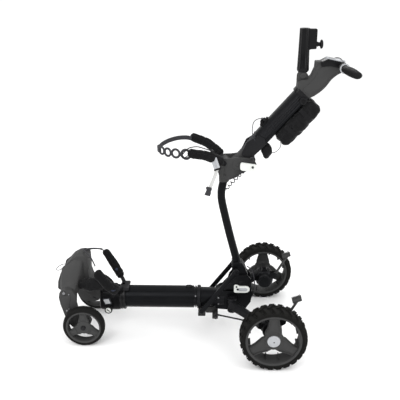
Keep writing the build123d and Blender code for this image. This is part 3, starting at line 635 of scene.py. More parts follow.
    def take(self, other: bmesh.types.BMesh) -> "Form":
        """Adds another mesh, already in metres, and frees it."""
        mesh = bpy.data.meshes.new("part")
        other.to_mesh(mesh)
        other.free()
        self.bm.from_mesh(mesh)
        bpy.data.meshes.remove(mesh)
        return self

    def mesh(self, name: str) -> bpy.types.Mesh:
        """The finished mesh, with its faces outwards."""
        bmesh.ops.remove_doubles(self.bm, verts=self.bm.verts, dist=1e-6)
        bmesh.ops.recalc_face_normals(self.bm, faces=self.bm.faces)
        made = bpy.data.meshes.new(name)
        self.bm.to_mesh(made)
        self.bm.free()
        return made

    def object(self, name: str) -> bpy.types.Object:
        """The finished mesh as an object in the scene."""
        made = bpy.data.objects.new(name, self.mesh(name))
        bpy.context.scene.collection.objects.link(made)
        return made

    def piece(self, name: str, body: str, finish: Finish, *replaces: str,
              angle: float = 34.0) -> bpy.types.Object:
        """The finished piece of the trolley.

        Args:
            name: The piece's name.
            body: The body that it moves with.
            finish: Its finish.
            *replaces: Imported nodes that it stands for.
            angle: Sharpest angle in degrees that is shaded as smooth.

        Returns:
            The object.
        """
        return dress(self.object(name), body, finish, *replaces, angle=angle)


def plain(obj: bpy.types.Object) -> bpy.types.Object:
    """The object with its modifiers made into mesh, and the modifiers taken off."""
    evaluated = obj.evaluated_get(bpy.context.evaluated_depsgraph_get())
    mesh = bpy.data.meshes.new_from_object(evaluated)
    obj.modifiers.clear()
    obj.data = mesh
    return obj


def mark_wear(mesh: bpy.types.Mesh) -> None:
    """Stores how sharp and proud each corner is, for the rubbed edges of a finish."""
    bm = bmesh.new()
    bm.from_mesh(mesh)
    values = []
    for v in bm.verts:
        sharp = max((e.calc_face_angle_signed(0.0) for e in v.link_edges), default=0.0)
        values.append(min(1.0, max(0.0, sharp - 0.12) / 0.7))
    bm.free()
    found = mesh.attributes.get("wear") or mesh.attributes.new("wear", "FLOAT", "POINT")
    found.data.foreach_set("value", values)


def coat(obj: bpy.types.Object, finish: Finish, angle: float = 34.0) -> None:
    """Gives an object its finish and soft shading."""
    mesh = obj.data
    mesh.materials.clear()
    mesh.materials.append(finish.material())
    mesh.polygons.foreach_set("material_index", [0] * len(mesh.polygons))
    mesh.shade_smooth()
    mesh.set_sharp_from_angle(angle=math.radians(angle))
    mark_wear(mesh)


def dress(
    obj: bpy.types.Object, body: str, finish: Finish, *replaces: str, angle: float = 34.0
) -> bpy.types.Object:
    """Finishes a piece and lets it ride on its body.

    Args:
        obj: The piece.
        body: The body that it moves with.
        finish: Its finish.
        *replaces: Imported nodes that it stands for.
        angle: Sharpest angle in degrees that is shaded as smooth.

    Returns:
        The piece.
    """
    if obj.type == "MESH":
        coat(obj, finish, angle)
    else:
        obj.data.materials.append(finish.material())
    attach(obj, body)
    if replaces:
        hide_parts(*replaces)
    LOG.info("%s on %s", obj.name, body)
    return obj


# ------------------------------------------------------------------ geometry nodes


class Repeat:
    """Copies a small form round an axis or along a line with geometry nodes."""

    @staticmethod
    def _tree(name: str, inputs: dict[str, str]) -> tuple[bpy.types.NodeTree, Net, bpy.types.Node]:
        """Starts a tree with named inputs.

        Args:
            name: The tree's name.
            inputs: Names and socket types of its inputs.

        Returns:
            The tree, its node maker and its input node.
        """
        tree = bpy.data.node_groups.new(name, "GeometryNodeTree")
        tree.interface.new_socket("Geometry", in_out="OUTPUT", socket_type="NodeSocketGeometry")
        tree.interface.new_socket("Geometry", in_out="INPUT", socket_type="NodeSocketGeometry")
        for key, kind in inputs.items():
            tree.interface.new_socket(key, in_out="INPUT", socket_type=kind)
        net = Net(tree)
        return tree, net, net.add("NodeGroupInput")

    @staticmethod
    def _end(net: Net, shape: bpy.types.NodeSocket, inputs: bpy.types.Node) -> None:
        """Ends a tree in real, coated geometry."""
        real = net.add("GeometryNodeRealizeInstances", {"Geometry": shape})
        coated = net.add(
            "GeometryNodeSetMaterial", {"Geometry": real.outputs[0], "Material": inputs.outputs["Material"]}
        )
        net.add("NodeGroupOutput", {"Geometry": coated.outputs[0]})

    @classmethod
    def ring_tree(cls) -> bpy.types.NodeTree:
        """The tree that copies a form round an axis."""
        found = bpy.data.node_groups.get("ring_of")
        if found:
            return found
        tree, net, given = cls._tree(
            "ring_of",
            {
                "Count": "NodeSocketInt", "Centre": "NodeSocketVector", "Axis": "NodeSocketVector",
                "Turn": "NodeSocketFloat", "Phase": "NodeSocketFloat", "Material": "NodeSocketMaterial",
            },
        )
        out = given.outputs
        points = net.add("GeometryNodePoints", {"Count": out["Count"], "Position": out["Centre"]})
        index = net.add("GeometryNodeInputIndex").outputs[0]
        angle = net.add("ShaderNodeMath", {0: index, 1: out["Turn"], 2: out["Phase"]},
                        operation="MULTIPLY_ADD")
        turn = net.add("FunctionNodeAxisAngleToRotation", {"Axis": out["Axis"], "Angle": angle.outputs[0]})
        back = net.add("ShaderNodeVectorMath", {0: out["Centre"], "Scale": -1.0},
                       operation="SCALE").outputs[0]
        moved = net.add("GeometryNodeTransform", {"Geometry": out["Geometry"], "Translation": back})
        copies = net.add(
            "GeometryNodeInstanceOnPoints",
            {"Points": points.outputs[0], "Instance": moved.outputs[0], "Rotation": turn.outputs[0]},
        )
        cls._end(net, copies.outputs[0], given)
        return tree

    @classmethod
    def row_tree(cls) -> bpy.types.NodeTree:
        """The tree that copies a form along a curve."""
        found = bpy.data.node_groups.get("row_of")
        if found:
            return found
        tree, net, given = cls._tree(
            "row_of", {"Path": "NodeSocketObject", "Count": "NodeSocketInt", "Material": "NodeSocketMaterial"}
        )
        out = given.outputs
        path = net.add("GeometryNodeObjectInfo", {"Object": out["Path"]})
        spots = net.add("GeometryNodeCurveToPoints",
                        {"Curve": path.outputs["Geometry"], "Count": out["Count"]})
        copies = net.add(
            "GeometryNodeInstanceOnPoints",
            {
                "Points": spots.outputs["Points"], "Instance": out["Geometry"],
                "Rotation": spots.outputs["Rotation"],
            },
        )
        cls._end(net, copies.outputs[0], given)
        return tree

    @classmethod
    def _apply(
        cls, obj: bpy.types.Object, tree: bpy.types.NodeTree, values: dict[str, object]
    ) -> bpy.types.Object:
        """Runs a tree on an object and keeps its plain mesh.

        Args:
            obj: Holds the small form.
            tree: The tree.
            values: A value for each named input.

        Returns:
            The object with its copies.
        """
        modifier = obj.modifiers.new("repeat", "NODES")
        modifier.node_group = tree
        for item in tree.interface.items_tree:
            if item.in_out == "INPUT" and item.name in values:
                modifier[item.identifier] = values[item.name]
        return plain(obj)

    @classmethod
    def ring(
        cls, form: Form, name: str, finish: Finish, count: int, centre: Point, axis: Point = (0, 1, 0),
        phase: float = 0.0, turn: float | None = None,
    ) -> bpy.types.Object:
        """Copies a form round an axis.

        Args:
            form: The first copy, in place.
            name: The new object's name.
            finish: Its finish.
            count: Number of copies.
            centre: A place on the axis.
            axis: The axis's direction.
            phase: Turn of the first copy in degrees.
            turn: Turn from one copy to the next in degrees, or a full turn shared out.

        Returns:
            The object.
        """
        step = math.radians(turn) if turn else 2 * math.pi / count
        place = Layout.at(centre[0], centre[1] * form.side, centre[2])
        values = {
            "Count": count, "Centre": list(place), "Axis": list(axis), "Turn": step,
            "Phase": math.radians(phase), "Material": finish.material(),
        }
        return cls._apply(form.object(name), cls.ring_tree(), values)

    @classmethod
    def row(
        cls, form: Form, name: str, finish: Finish, path: Sequence[Vector], count: int
    ) -> bpy.types.Object:
        """Copies a form along a line.

        Args:
            form: The form, round the layout's zero.
            name: The new object's name.
            finish: Its finish.
            path: Points in metres that the copies follow.
            count: Number of copies.

        Returns:
            The object.
        """
        guide = line_curve("guide", path)
        obj = form.object(name)
        obj.data.transform(Matrix.Translation(-Layout.at(0, 0, 0)))
        made = cls._apply(obj, cls.row_tree(), {"Path": guide, "Count": count, "Material": finish.material()})
        bpy.data.objects.remove(guide)
        return made


def line_curve(name: str, points: Sequence[Vector]) -> bpy.types.Object:
    """An object with one plain line through points in metres."""
    curve = bpy.data.curves.new(name, "CURVE")
    curve.dimensions = "3D"
    spline = curve.splines.new("POLY")
    spline.points.add(len(points) - 1)
    for spot, p in zip(spline.points, points):
        spot.co = (*p, 1.0)
    made = bpy.data.objects.new(name, curve)
    bpy.context.scene.collection.objects.link(made)
    return made


def joined(objects: Sequence[bpy.types.Object], name: str) -> bpy.types.Object:
    """One object from several, with their meshes as they are.

    Args:
        objects: The objects, which are removed.
        name: The new object's name.

    Returns:
        The new object.
    """
    bm = bmesh.new()
    for obj in objects:
        bm.from_mesh(obj.data)
        bpy.data.objects.remove(obj)
    mesh = bpy.data.meshes.new(name)
    bm.to_mesh(mesh)
    bm.free()
    made = bpy.data.objects.new(name, mesh)
    bpy.context.scene.collection.objects.link(made)
    return made


# ------------------------------------------------------------------ cords


@dataclass
class Route:
    """A cord's line as a smooth spline through its control points."""

    points: Sequence[Point]

    def curve(self, name: str, radius: float) -> bpy.types.Object:
        """The cord as a round curve object.

        Args:
            name: The object's name.
            radius: The cord's radius in millimetres, or 0 for its line alone.

        Returns:
            The object.
        """
        data = bpy.data.curves.new(name, "CURVE")
        data.dimensions = "3D"
        spline = data.splines.new("NURBS")
        spline.points.add(len(self.points) - 1)
        for spot, p in zip(spline.points, self.points):
            spot.co = (*Layout.at(*p), 1.0)
        spline.order_u = 3
        spline.use_endpoint_u = True
        data.resolution_u = 10
        data.bevel_depth = radius * 0.001
        data.bevel_resolution = 4
        data.use_fill_caps = True
        made = bpy.data.objects.new(name, data)
        bpy.context.scene.collection.objects.link(made)
        return made

    def line(self) -> list[Vector]:
        """Points in metres read from the spline."""
        guide = self.curve("guide", 0.0)
        evaluated = guide.evaluated_get(bpy.context.evaluated_depsgraph_get())
        mesh = bpy.data.meshes.new_from_object(evaluated)
        found = [v.co.copy() for v in mesh.vertices]
        bpy.data.meshes.remove(mesh)
        bpy.data.objects.remove(guide)
        return found


def length_of(line: Sequence[Vector]) -> float:
    """The length of a line."""
    return sum((b - a).length for a, b in zip(line, line[1:]))


def back(line: Iterable[Vector]) -> list[Vector]:
    """Places in metres as places of the layout."""
    zero = Layout.at(0, 0, 0)
    return [(p - zero) * 1000 for p in line]


# ------------------------------------------------------------------ cloth


@dataclass(frozen=True)
class Stuffing:
    """How a soft form is filled and settled."""

    voxel: float = 5.0
    pressure: float = 4.0
    cap: float = 7.0
    wrinkle: float = 1.4
    seed: float = 1.0

    def settle(self, obj: bpy.types.Object) -> bpy.types.Object:
        """Remeshes a form and lets its cover swell like stuffed cloth.

        Args:
            obj: The form.

        Returns:
            The same object with its settled mesh.
        """
        remesh = obj.modifiers.new("even", "REMESH")
        remesh.mode = "VOXEL"
        remesh.voxel_size = self.voxel * 0.001
        plain(obj)
        self._crease(obj.data)
        self._swell(obj)
        finer = obj.modifiers.new("finer", "SUBSURF")
        finer.levels = finer.render_levels = 1
        return plain(obj)

    def _crease(self, mesh: bpy.types.Mesh) -> None:
        """Moves the cover in and out a little, as slack cloth lies."""
        for v in mesh.vertices:
            spot = v.co * 34.0 + Vector((self.seed * 7.3, 0, 0))
            ridge = 1.0 - abs(noise.noise(spot)) * 2.6
            v.co += v.normal * (self.wrinkle * 0.001 * ridge)

    def _swell(self, obj: bpy.types.Object) -> None:
        """Runs the cloth and caps how far a point moved."""
        rest = [v.co.copy() for v in obj.data.vertices]
        cloth = obj.modifiers.new("cloth", "CLOTH")
        cloth.settings.quality = 5
        cloth.settings.use_pressure = True
        cloth.settings.uniform_pressure_force = self.pressure
        cloth.settings.effector_weights.gravity = 0
        cloth.settings.bending_stiffness = 0.3
        cloth.point_cache.frame_start = 1
        cloth.point_cache.frame_end = 20
        scene = bpy.context.scene
        for frame in range(1, 21):
            scene.frame_set(frame)
        plain(obj)
        scene.frame_set(1)
        cap = self.cap * 0.001
        for v, r in zip(obj.data.vertices, rest):
            moved = v.co - r
            if moved.length > cap:
                v.co = r + moved.normalized() * cap


def pinch(mesh: bpy.types.Mesh, line: Sequence[Vector], width: float, depth: float) -> None:
    """Draws a cover in along a seam.

    Args:
        mesh: The cover.
        line: The seam, in metres.
        width: Width of the channel in millimetres.
        depth: Its depth in millimetres.
    """
    reach = width * 0.001
    for v in mesh.vertices:
        near = min((v.co - p).length for p in line)
        if near < reach:
            share = 0.5 + 0.5 * math.cos(math.pi * near / reach)
            v.co -= v.normal * (depth * 0.001 * share)


# ------------------------------------------------------------------ wheels


@dataclass
class RearWheel:
    """A driven wheel with chunky tread, a dished rim with three spokes and a push cap."""

    name: str
    side: int
    radius: float = 140.0
    mid: float = 308.0
    lugs: int = 24
    hub: tuple[float, float] = (0.0, 140.0)

    def _centre(self, y: float = 0.0) -> tuple[float, float, float]:
        """A place on the axle, so far out from the tyre's middle."""
        return (self.hub[0], self.mid + y, self.hub[1])

    def _polar(self, r: float, angle: float, y: float) -> Vector:
        """A place at a radius and an angle from straight up."""
        cx, cy, cz = self._centre(y)
        return Vector((cx + r * math.sin(angle), cy, cz + r * math.cos(angle)))

    def build(self) -> None:
        """Makes the wheel's pieces."""
        self._tyre()
        self._rim()
        self._cap()

    def _lug(self, way: int) -> Form:
        """One tread block from the middle of the tread out over a shoulder."""
        rows = (
            (0.5, 139.2, 131.0, 0.045, -0.045), (12.0, 140.6, 132.0, 0.070, 0.0),
            (25.0, 140.2, 131.5, 0.078, 0.045),
            (34.0, 138.2, 130.0, 0.086, 0.075), (38.4, 133.5, 127.0, 0.086, 0.085),
            (38.8, 124.5, 122.0, 0.066, 0.085),
        )
        rings = []
        for y, top, low, half, lean in rows:
            corners = ((low, -1.0), (top, -0.78), (top, 0.78), (low, 1.0))
            rings.append([self._polar(r, lean + half * w, way * y) for r, w in corners])
        return Form(self.side).loft(rings)

    def _tyre(self) -> None:
        """The carcass with two rows of tread blocks and the small bars between them."""
        profile = [
            (115, -34), (116.5, -36.8), (122, -37.6), (128, -36.6), (132, -32), (133.4, -20), (133.8, 0),
            (133.4, 20),
            (132, 32), (128, 36.6), (122, 37.6), (116.5, 36.8), (115, 34),
        ]
        shape = Form(self.side).lathe(profile, self._centre(), steps=96, closed=True)
        parts = [shape.object("carcass")]
        step = 360 / self.lugs
        for way, phase in ((1, 0.0), (-1, step / 2)):
            parts.append(Repeat.ring(self._lug(way), "lugs", TYRE, self.lugs, self._centre(), phase=phase))
            bar = [self._polar(r, a, way * y) for r, a, y in (
                (132, 0.0, 20), (132, 0.022, 33), (136.4, 0.02, 33), (136.8, 0.0, 20))]
            twin = [self._polar(r, a + 0.02, way * y) for r, a, y in (
                (132, 0.0, 20), (132, 0.022, 33), (136.4, 0.02, 33), (136.8, 0.0, 20))]
            form = Form(self.side).loft([bar, twin])
            parts.append(Repeat.ring(form, "bars", TYRE, self.lugs, self._centre(),
                                     phase=phase + step * 0.55))
        tyre = joined(parts, f"rear_tread_{self.name}")
        dress(tyre, f"rear_wheel_{self.name}", TYRE, f"rear_tyre_{self.name}", angle=28)

    def _rim(self) -> None:
        """The barrel, three spokes with raised edges, the hub and its bolts."""
        barrel = [
            (114.9, -33.5), (114.9, 33.5), (116.6, 36.4), (115.4, 37.8), (111, 37.4), (107.6, 35),
            (106.4, 29),
            (106, 0), (106.4, -29), (107.6, -35), (111, -37.4), (115.4, -37.8), (116.6, -36.4),
        ]
        form = Form(self.side).lathe(barrel, self._centre(), steps=96, closed=True)
        cx, cz = self.hub
        y0, y1 = self.mid + 12, self.mid + 30
        spoke = [(-22, 107), (-21, 92), (-23, 74), (-28, 56), (-33, 38), (-31, 12), (31, 12), (33, 38),
                 (28, 56),
                 (23, 74), (21, 92), (22, 107)]
        edge = [(-21, 105), (-20, 92), (-22, 74), (-27, 56), (-31, 42), (-26, 42), (-23, 57), (-18, 75),
                (-16, 92),
                (-17, 105)]
        for turn in (0, 120, 240):
            c, s = math.cos(math.radians(turn)), math.sin(math.radians(turn))
            form.prism([(cx + x * c + z * s, cz - x * s + z * c) for x, z in spoke], y0, y1, 3.0, 3)
            for way in (1, -1):
                rib = [(cx + way * x * c + z * s, cz - way * x * s + z * c) for x, z in edge]
                form.prism(rib, y1 - 2, y1 + 4.5, 1.6, 2)
        hub = [
            (0, -36), (24, -36), (31, -34), (33, -30), (33, 8), (41, 12), (42.5, 15), (42.5, 28), (40, 31.5),
            (34, 32.5), (32.5, 35.5), (29, 35.8), (28, 33), (28, 29), (0, 29),
        ]
        form.lathe(hub, self._centre(), steps=64)
        rim = form.object("rim")
        bolt = Form(self.side).lathe(
            [(0, 33.5), (2.6, 33.5), (3.4, 32.6), (3.4, 29), (0, 29)], self._shifted(36.8), steps=6
        )
        bolts = Repeat.ring(bolt, "bolts", MOULDED, 6, self._centre(), phase=30)
        slot = Form(self.side).prism([(cx - 2.2, cz + 97), (cx + 2.2, cz + 97), (cx + 2.2, cz + 106.6),
                                      (cx - 2.2, cz + 106.6)], self.mid - 30, self.mid + 12, 0.8, 1)
        ribs = Repeat.ring(slot, "ribs", MOULDED, 12, self._centre(), phase=15)
        rim = joined([rim, bolts, ribs], f"rear_rim_shell_{self.name}")
        dress(rim, f"rear_wheel_{self.name}", MOULDED, f"rear_rim_{self.name}")

    def _shifted(self, r: float) -> tuple[float, float, float]:
        """A place on the axle's plane, straight up by a radius."""
        return (self.hub[0], self.mid, self.hub[1] + r)

    def _cap(self) -> None:
        """The pale push cap with its small mark."""
        rings = [
            (0, 36.6), (17.5, 36.6), (18.4, 36.0), (19.6, 36.0), (20.4, 36.6), (24.6, 36.4), (26.4, 35.4),
            (27, 33.6),
            (27, 27), (0, 27),
        ]
        Form(self.side).lathe(rings, self._centre(), steps=56).piece(
            f"push_cap_{self.name}", f"cap_{self.name}", GREY, f"wheel_cap_{self.name}"
        )
        spot = (self.hub[0] + 1.0, self.mid, self.hub[1] - 3.0)
        Form(self.side).lathe([(0, 37.0), (2.4, 37.0), (3.0, 36.7), (3.0, 35.6), (0, 35.6)], spot,
                              steps=16).piece(
            f"cap_mark_{self.name}", f"cap_{self.name}", MOULDED
        )


@dataclass
class FrontWheel:
    """A free-running wheel with a low tread and three wide spokes."""

    name: str
    side: int
    radius: float = 92.5
    mid: float = 160.0
    hub: tuple[float, float] = (-820.0, 92.5)

    def build(self) -> None:
        """Makes the wheel's pieces."""
        centre = (self.hub[0], self.mid, self.hub[1])
        profile = [
            (76, -19), (77.5, -21), (83, -21), (88.5, -18.6), (91.6, -13), (92.2, -8.6), (91.0, -8.0),
            (91.0, -6.4),
            (92.4, -5.8), (92.6, 0), (92.4, 5.8), (91.0, 6.4), (91.0, 8.0), (92.2, 8.6), (91.6, 13),
            (88.5, 18.6),
            (83, 21), (77.5, 21), (76, 19),
        ]
        tyre = Form(self.side).lathe(profile, centre, steps=88, closed=True).object("carcass")
        cx, cz = self.hub
        rib = [(cx - 1.1, cz + 80), (cx + 1.1, cz + 80), (cx + 1.1, cz + 87.8), (cx - 1.1, cz + 87.8)]
        bars = []
        for y in (17.2, -20.4):
            form = Form(self.side).prism(rib, self.mid + y, self.mid + y + 3.4, 0.5, 1)
            bars.append(Repeat.ring(form, "bars", TYRE, 56, centre))
        tyre = joined([tyre, *bars], f"front_tread_{self.name}")
        body = f"front_wheel_{self.name}"
        dress(tyre, body, TYRE, f"front_tyre_{self.name}", angle=28)

        barrel = [(75.9, -18.6), (75.9, 18.6), (77.2, 20.6), (76, 21.4), (72.5, 20.8), (69.6, 18.6),
                  (68.8, 14),
                  (68.8, -14), (69.6, -18.6), (72.5, -20.8), (76, -21.4), (77.2, -20.6)]
        form = Form(self.side).lathe(barrel, centre, steps=80, closed=True)
        spoke = [(-15, 70), (-15, 58), (-18, 44), (-23, 32), (-22, 8), (22, 8), (23, 32), (18, 44), (15, 58),
                 (15, 70)]
        inset = [(-10, 63), (-10, 54), (-13, 42), (-15, 37), (15, 37), (13, 42), (10, 54), (10, 63)]
        y0, y1 = self.mid + 1.5, self.mid + 16
        for turn in (0, 120, 240):
            c, s = math.cos(math.radians(turn)), math.sin(math.radians(turn))
            form.prism([(cx + x * c + z * s, cz - x * s + z * c) for x, z in spoke], y0, y1, 2.6, 3)
            form.prism([(cx + x * c + z * s, cz - x * s + z * c) for x, z in inset], y1 - 1, y1 + 2.2, 1.4, 2)
        hub = [(7, -19), (13, -19), (16, -17), (16, 0), (30, 2), (32, 5), (32, 15), (30, 18), (20, 19.4),
               (17, 21),
               (12.5, 21), (12.5, 18), (7, 18)]
        form.lathe(hub, centre, steps=56, closed=True)
        form.piece(f"front_rim_shell_{self.name}", body, MOULDED, f"front_rim_{self.name}")


# ------------------------------------------------------------------ chassis


@dataclass
class Chassis:
    """The battery tube with the front knuckle, the fork and its axles."""

    tube_z: float = 155.0
    hub: tuple[float, float] = (-820.0, 92.5)
    knob: tuple[float, float] = (-727.0, 115.0)
    leg: tuple[float, float] = (105.0, 132.0)

    def build(self) -> None:
        """Makes the chassis pieces."""
        self._fork()
        self._axles()
        self._collars()
        self._knuckle()
        self._button()

    def _fork(self) -> None:
        """The fork's crown, shoulders and legs as one smooth moulding."""
        crown = [
            (-955, 214), (-951, 250), (-937, 290), (-914, 325), (-884, 358), (-858, 373), (-834, 377),
            (-812, 366),
            (-811, 320), (-812, 288), (-804, 258), (-788, 232), (-765, 206), (-763, 182), (-765, 158),
            (-800, 176),
            (-850, 214), (-905, 222), (-944, 204),
        ]
        form = Form().prism(eased(crown, 14, 3), -44, 44, 11.0, 4)
        y0, y1 = self.leg
        leg = [
            (-926, 240), (-930, 214), (-925, 180), (-908, 118), (-896, 84), (-878, 66),
            (self.hub[0] - 12, 66),
            (self.hub[0] + 16, 68), (self.hub[0] + 26, self.hub[1]), (self.hub[0] + 14, 116), (-850, 134),
            (-857, 182), (-853, 222), (-870, 248), (-900, 256),
        ]
        for side in (1, -1):
            half = Form(side).prism(eased(leg, 14, 3), y0, y1, 7.0, 4)
            rings = []
            for t in range(7):
                s = t / 6
                ease = s * s * (3 - 2 * s)
                y = 38 + (y0 + 6 - 38) * s
                high, low = 366 + (250 - 366) * ease, 216 + (196 - 216) * ease
                front, rear = -930 + (-924 + 930) * ease, -830 + (-862 + 830) * ease
                ring = eased([(front - 16 + 10 * ease, low + 10), (front, high - 50 + 28 * ease),
                              (front + 62 - 30 * ease, high),
                              (rear, high - 8), (rear, low)], 26, 4)
                rings.append([(x, y, z) for x, z in ring])
            half.loft(rings)
            half.lathe([(0, y0 - 4), (19, y0 - 4), (21, y0 - 2), (21, y1 + 2), (19, y1 + 4), (0, y1 + 4)],
                       (self.hub[0], 0, self.hub[1]), steps=40)
            half.prism(eased([(-914, 226), (-918, 202), (-906, 150), (-890, 120), (-878, 128), (-886, 176),
                              (-876, 226)], 8, 3), y1 - 2, y1 + 1.6, 1.2, 2)
            form.take(half.bm)
        form.piece("fork_shell", "frame", MOULDED, "front_fork", angle=40)

        bolts = []
        for x, z, r in ((-906, 237, 6.5), (-884, 232, 3.2), (-897, 150, 5.6), (-888, 160, 2.8)):
            for side in (1, -1):
                head = [(0, 4.4), (r * 0.7, 4.2), (r, 2.8), (r, -1), (0, -1)]
                bolts.append(Form(side).lathe(head, (x, y1 + 0.4, z), steps=20).object("bolt"))
        bolts.append(Form().lathe([(0, 1.6), (3.6, 1.4), (5, 0), (5, -5), (0, -5)], (-745, -46, 180),
                                  (0, -1, 0),
                                  24).object("bolt"))
        dress(joined(bolts, "fork_bolts"), "frame", STEEL, "frame_screws")

    def _axles(self) -> None:
        """The two stub axles with their nuts."""
        parts = []
        for side in (1, -1):
            form = Form(side).lathe([(0, 99), (5.9, 99), (5.9, 181), (0, 181)],
                                    (self.hub[0], 0, self.hub[1]), steps=24)
            form.lathe([(0, 94), (8, 94.4), (11, 96.4), (11, 101), (0, 101)], (self.hub[0], 0, self.hub[1]),
                       steps=6)
            form.lathe([(0, 185.6), (6, 185), (9.4, 182.6), (10, 180), (10, 178.6), (0, 178.6)],
                       (self.hub[0], 0, self.hub[1]), steps=28)
            parts.append(form.object("axle"))
        dress(joined(parts, "stub_axles"), "frame", DARK_STEEL, "front_axles")

    def _collars(self) -> None:
        """The collar at the tube's front, with its clamp ears and screws."""
        start = (-676.0, 0.0, self.tube_z)
        ring = [(50.7, 0.5), (57, 0), (60, 3), (60, 9), (58.6, 10.5), (58.6, 15.5), (60, 17), (60, 23),
                (57, 26),
                (50.7, 25.5)]
        form = Form().lathe(ring, start, (1, 0, 0), 72, closed=True)
        for z in (self.tube_z - 63, self.tube_z + 55):
            form.prism([(-672, z), (-654, z), (-654, z + 8), (-672, z + 8)], -9, 9, 1.8)
        form.piece("front_collar", "frame", GLOSS, "tube_front_collar")

    def _knuckle(self) -> None:
        """The knuckle block, its side badge, and the tracking knob with its pale face."""
        form = Form()
        rings = []
        for x, w, h in ((-770, 70, 92), (-766, 82, 104), (-758, 88, 110), (-700, 88, 110), (-686, 92, 108),
                        (-677, 96, 104)):
            rings.append([(x, y, 150 + z) for y, z in rounded_rect(w, h, min(w, h) * 0.34, 6)])
        form.loft(rings)
        kx, kz = self.knob
        form.lathe([(0, 36), (16, 36), (16, 50), (13.5, 51.6), (0, 51.6)], (kx, 0, kz), (0, -1, 0), 32)
        form.prism(eased([(-758, 172), (-700, 172), (-694, 196), (-752, 196)], 6), -49, -40, 2.0)
        form.prism(eased([(-758, 172), (-700, 172), (-694, 196), (-752, 196)], 6), 40, 49, 2.0)
        form.piece("knuckle_block", "frame", GLOSS, "front_knuckle")
        tag = eased([(-754, 165), (-722, 169), (-712, 137), (-744, 133)], 3)
        Form().prism(tag, -49.6, -43, 1.0).piece("badge_plate", "frame", DIM, "tracking_plate")
        face = eased([(-750, 161), (-726, 164), (-717, 141), (-741, 138)], 3)
        Form().prism(face, -50, -48, 0.3, 1).piece("badge_face", "frame", GREY)
        knob = [(0, 66), (12.4, 66), (13.2, 67), (16.4, 66.6), (18, 64.4), (18, 56), (16.5, 52.6), (5, 52.6),
                (5, 30),
                (0, 30)]
        Form().lathe(knob, (kx, 0, kz), (0, -1, 0), 40).piece("knob_body", "tracking_knob", GLOSS,
                                                              "tracking_knob")
        Form().lathe([(0, 67.2), (11.6, 67.0), (12.4, 66.2), (12.4, 65), (0, 65)], (kx, 0, kz), (0, -1, 0),
                     36).piece(
            "knob_face", "tracking_knob", WHITE
        )
        slash = eased([(kx - 8, kz + 3.4), (kx + 6, kz - 7), (kx + 8, kz - 3.2), (kx - 6, kz + 7)], 1.4, 2)
        Form().prism(slash, -68.0, -66.8, 0.4, 1).piece("knob_mark", "tracking_knob", GLOSS)

    def _button(self) -> None:
        """The oval power button on the tube's top."""
        form = Form()
        rings = []
        for z, w in ((198.5, 1.0), (208.6, 1.0), (210.6, 0.95), (211.6, 0.84), (211.0, 0.6)):
            rings.append([(-361 + x * w, y * (w if w < 1 else 1), z) for x,
                          y in rounded_rect(32, 18, 8.9, 6)])
        form.loft(rings)
        form.piece("power_key", "power_button", GLOSS, "power_button")


# ------------------------------------------------------------------ rear end


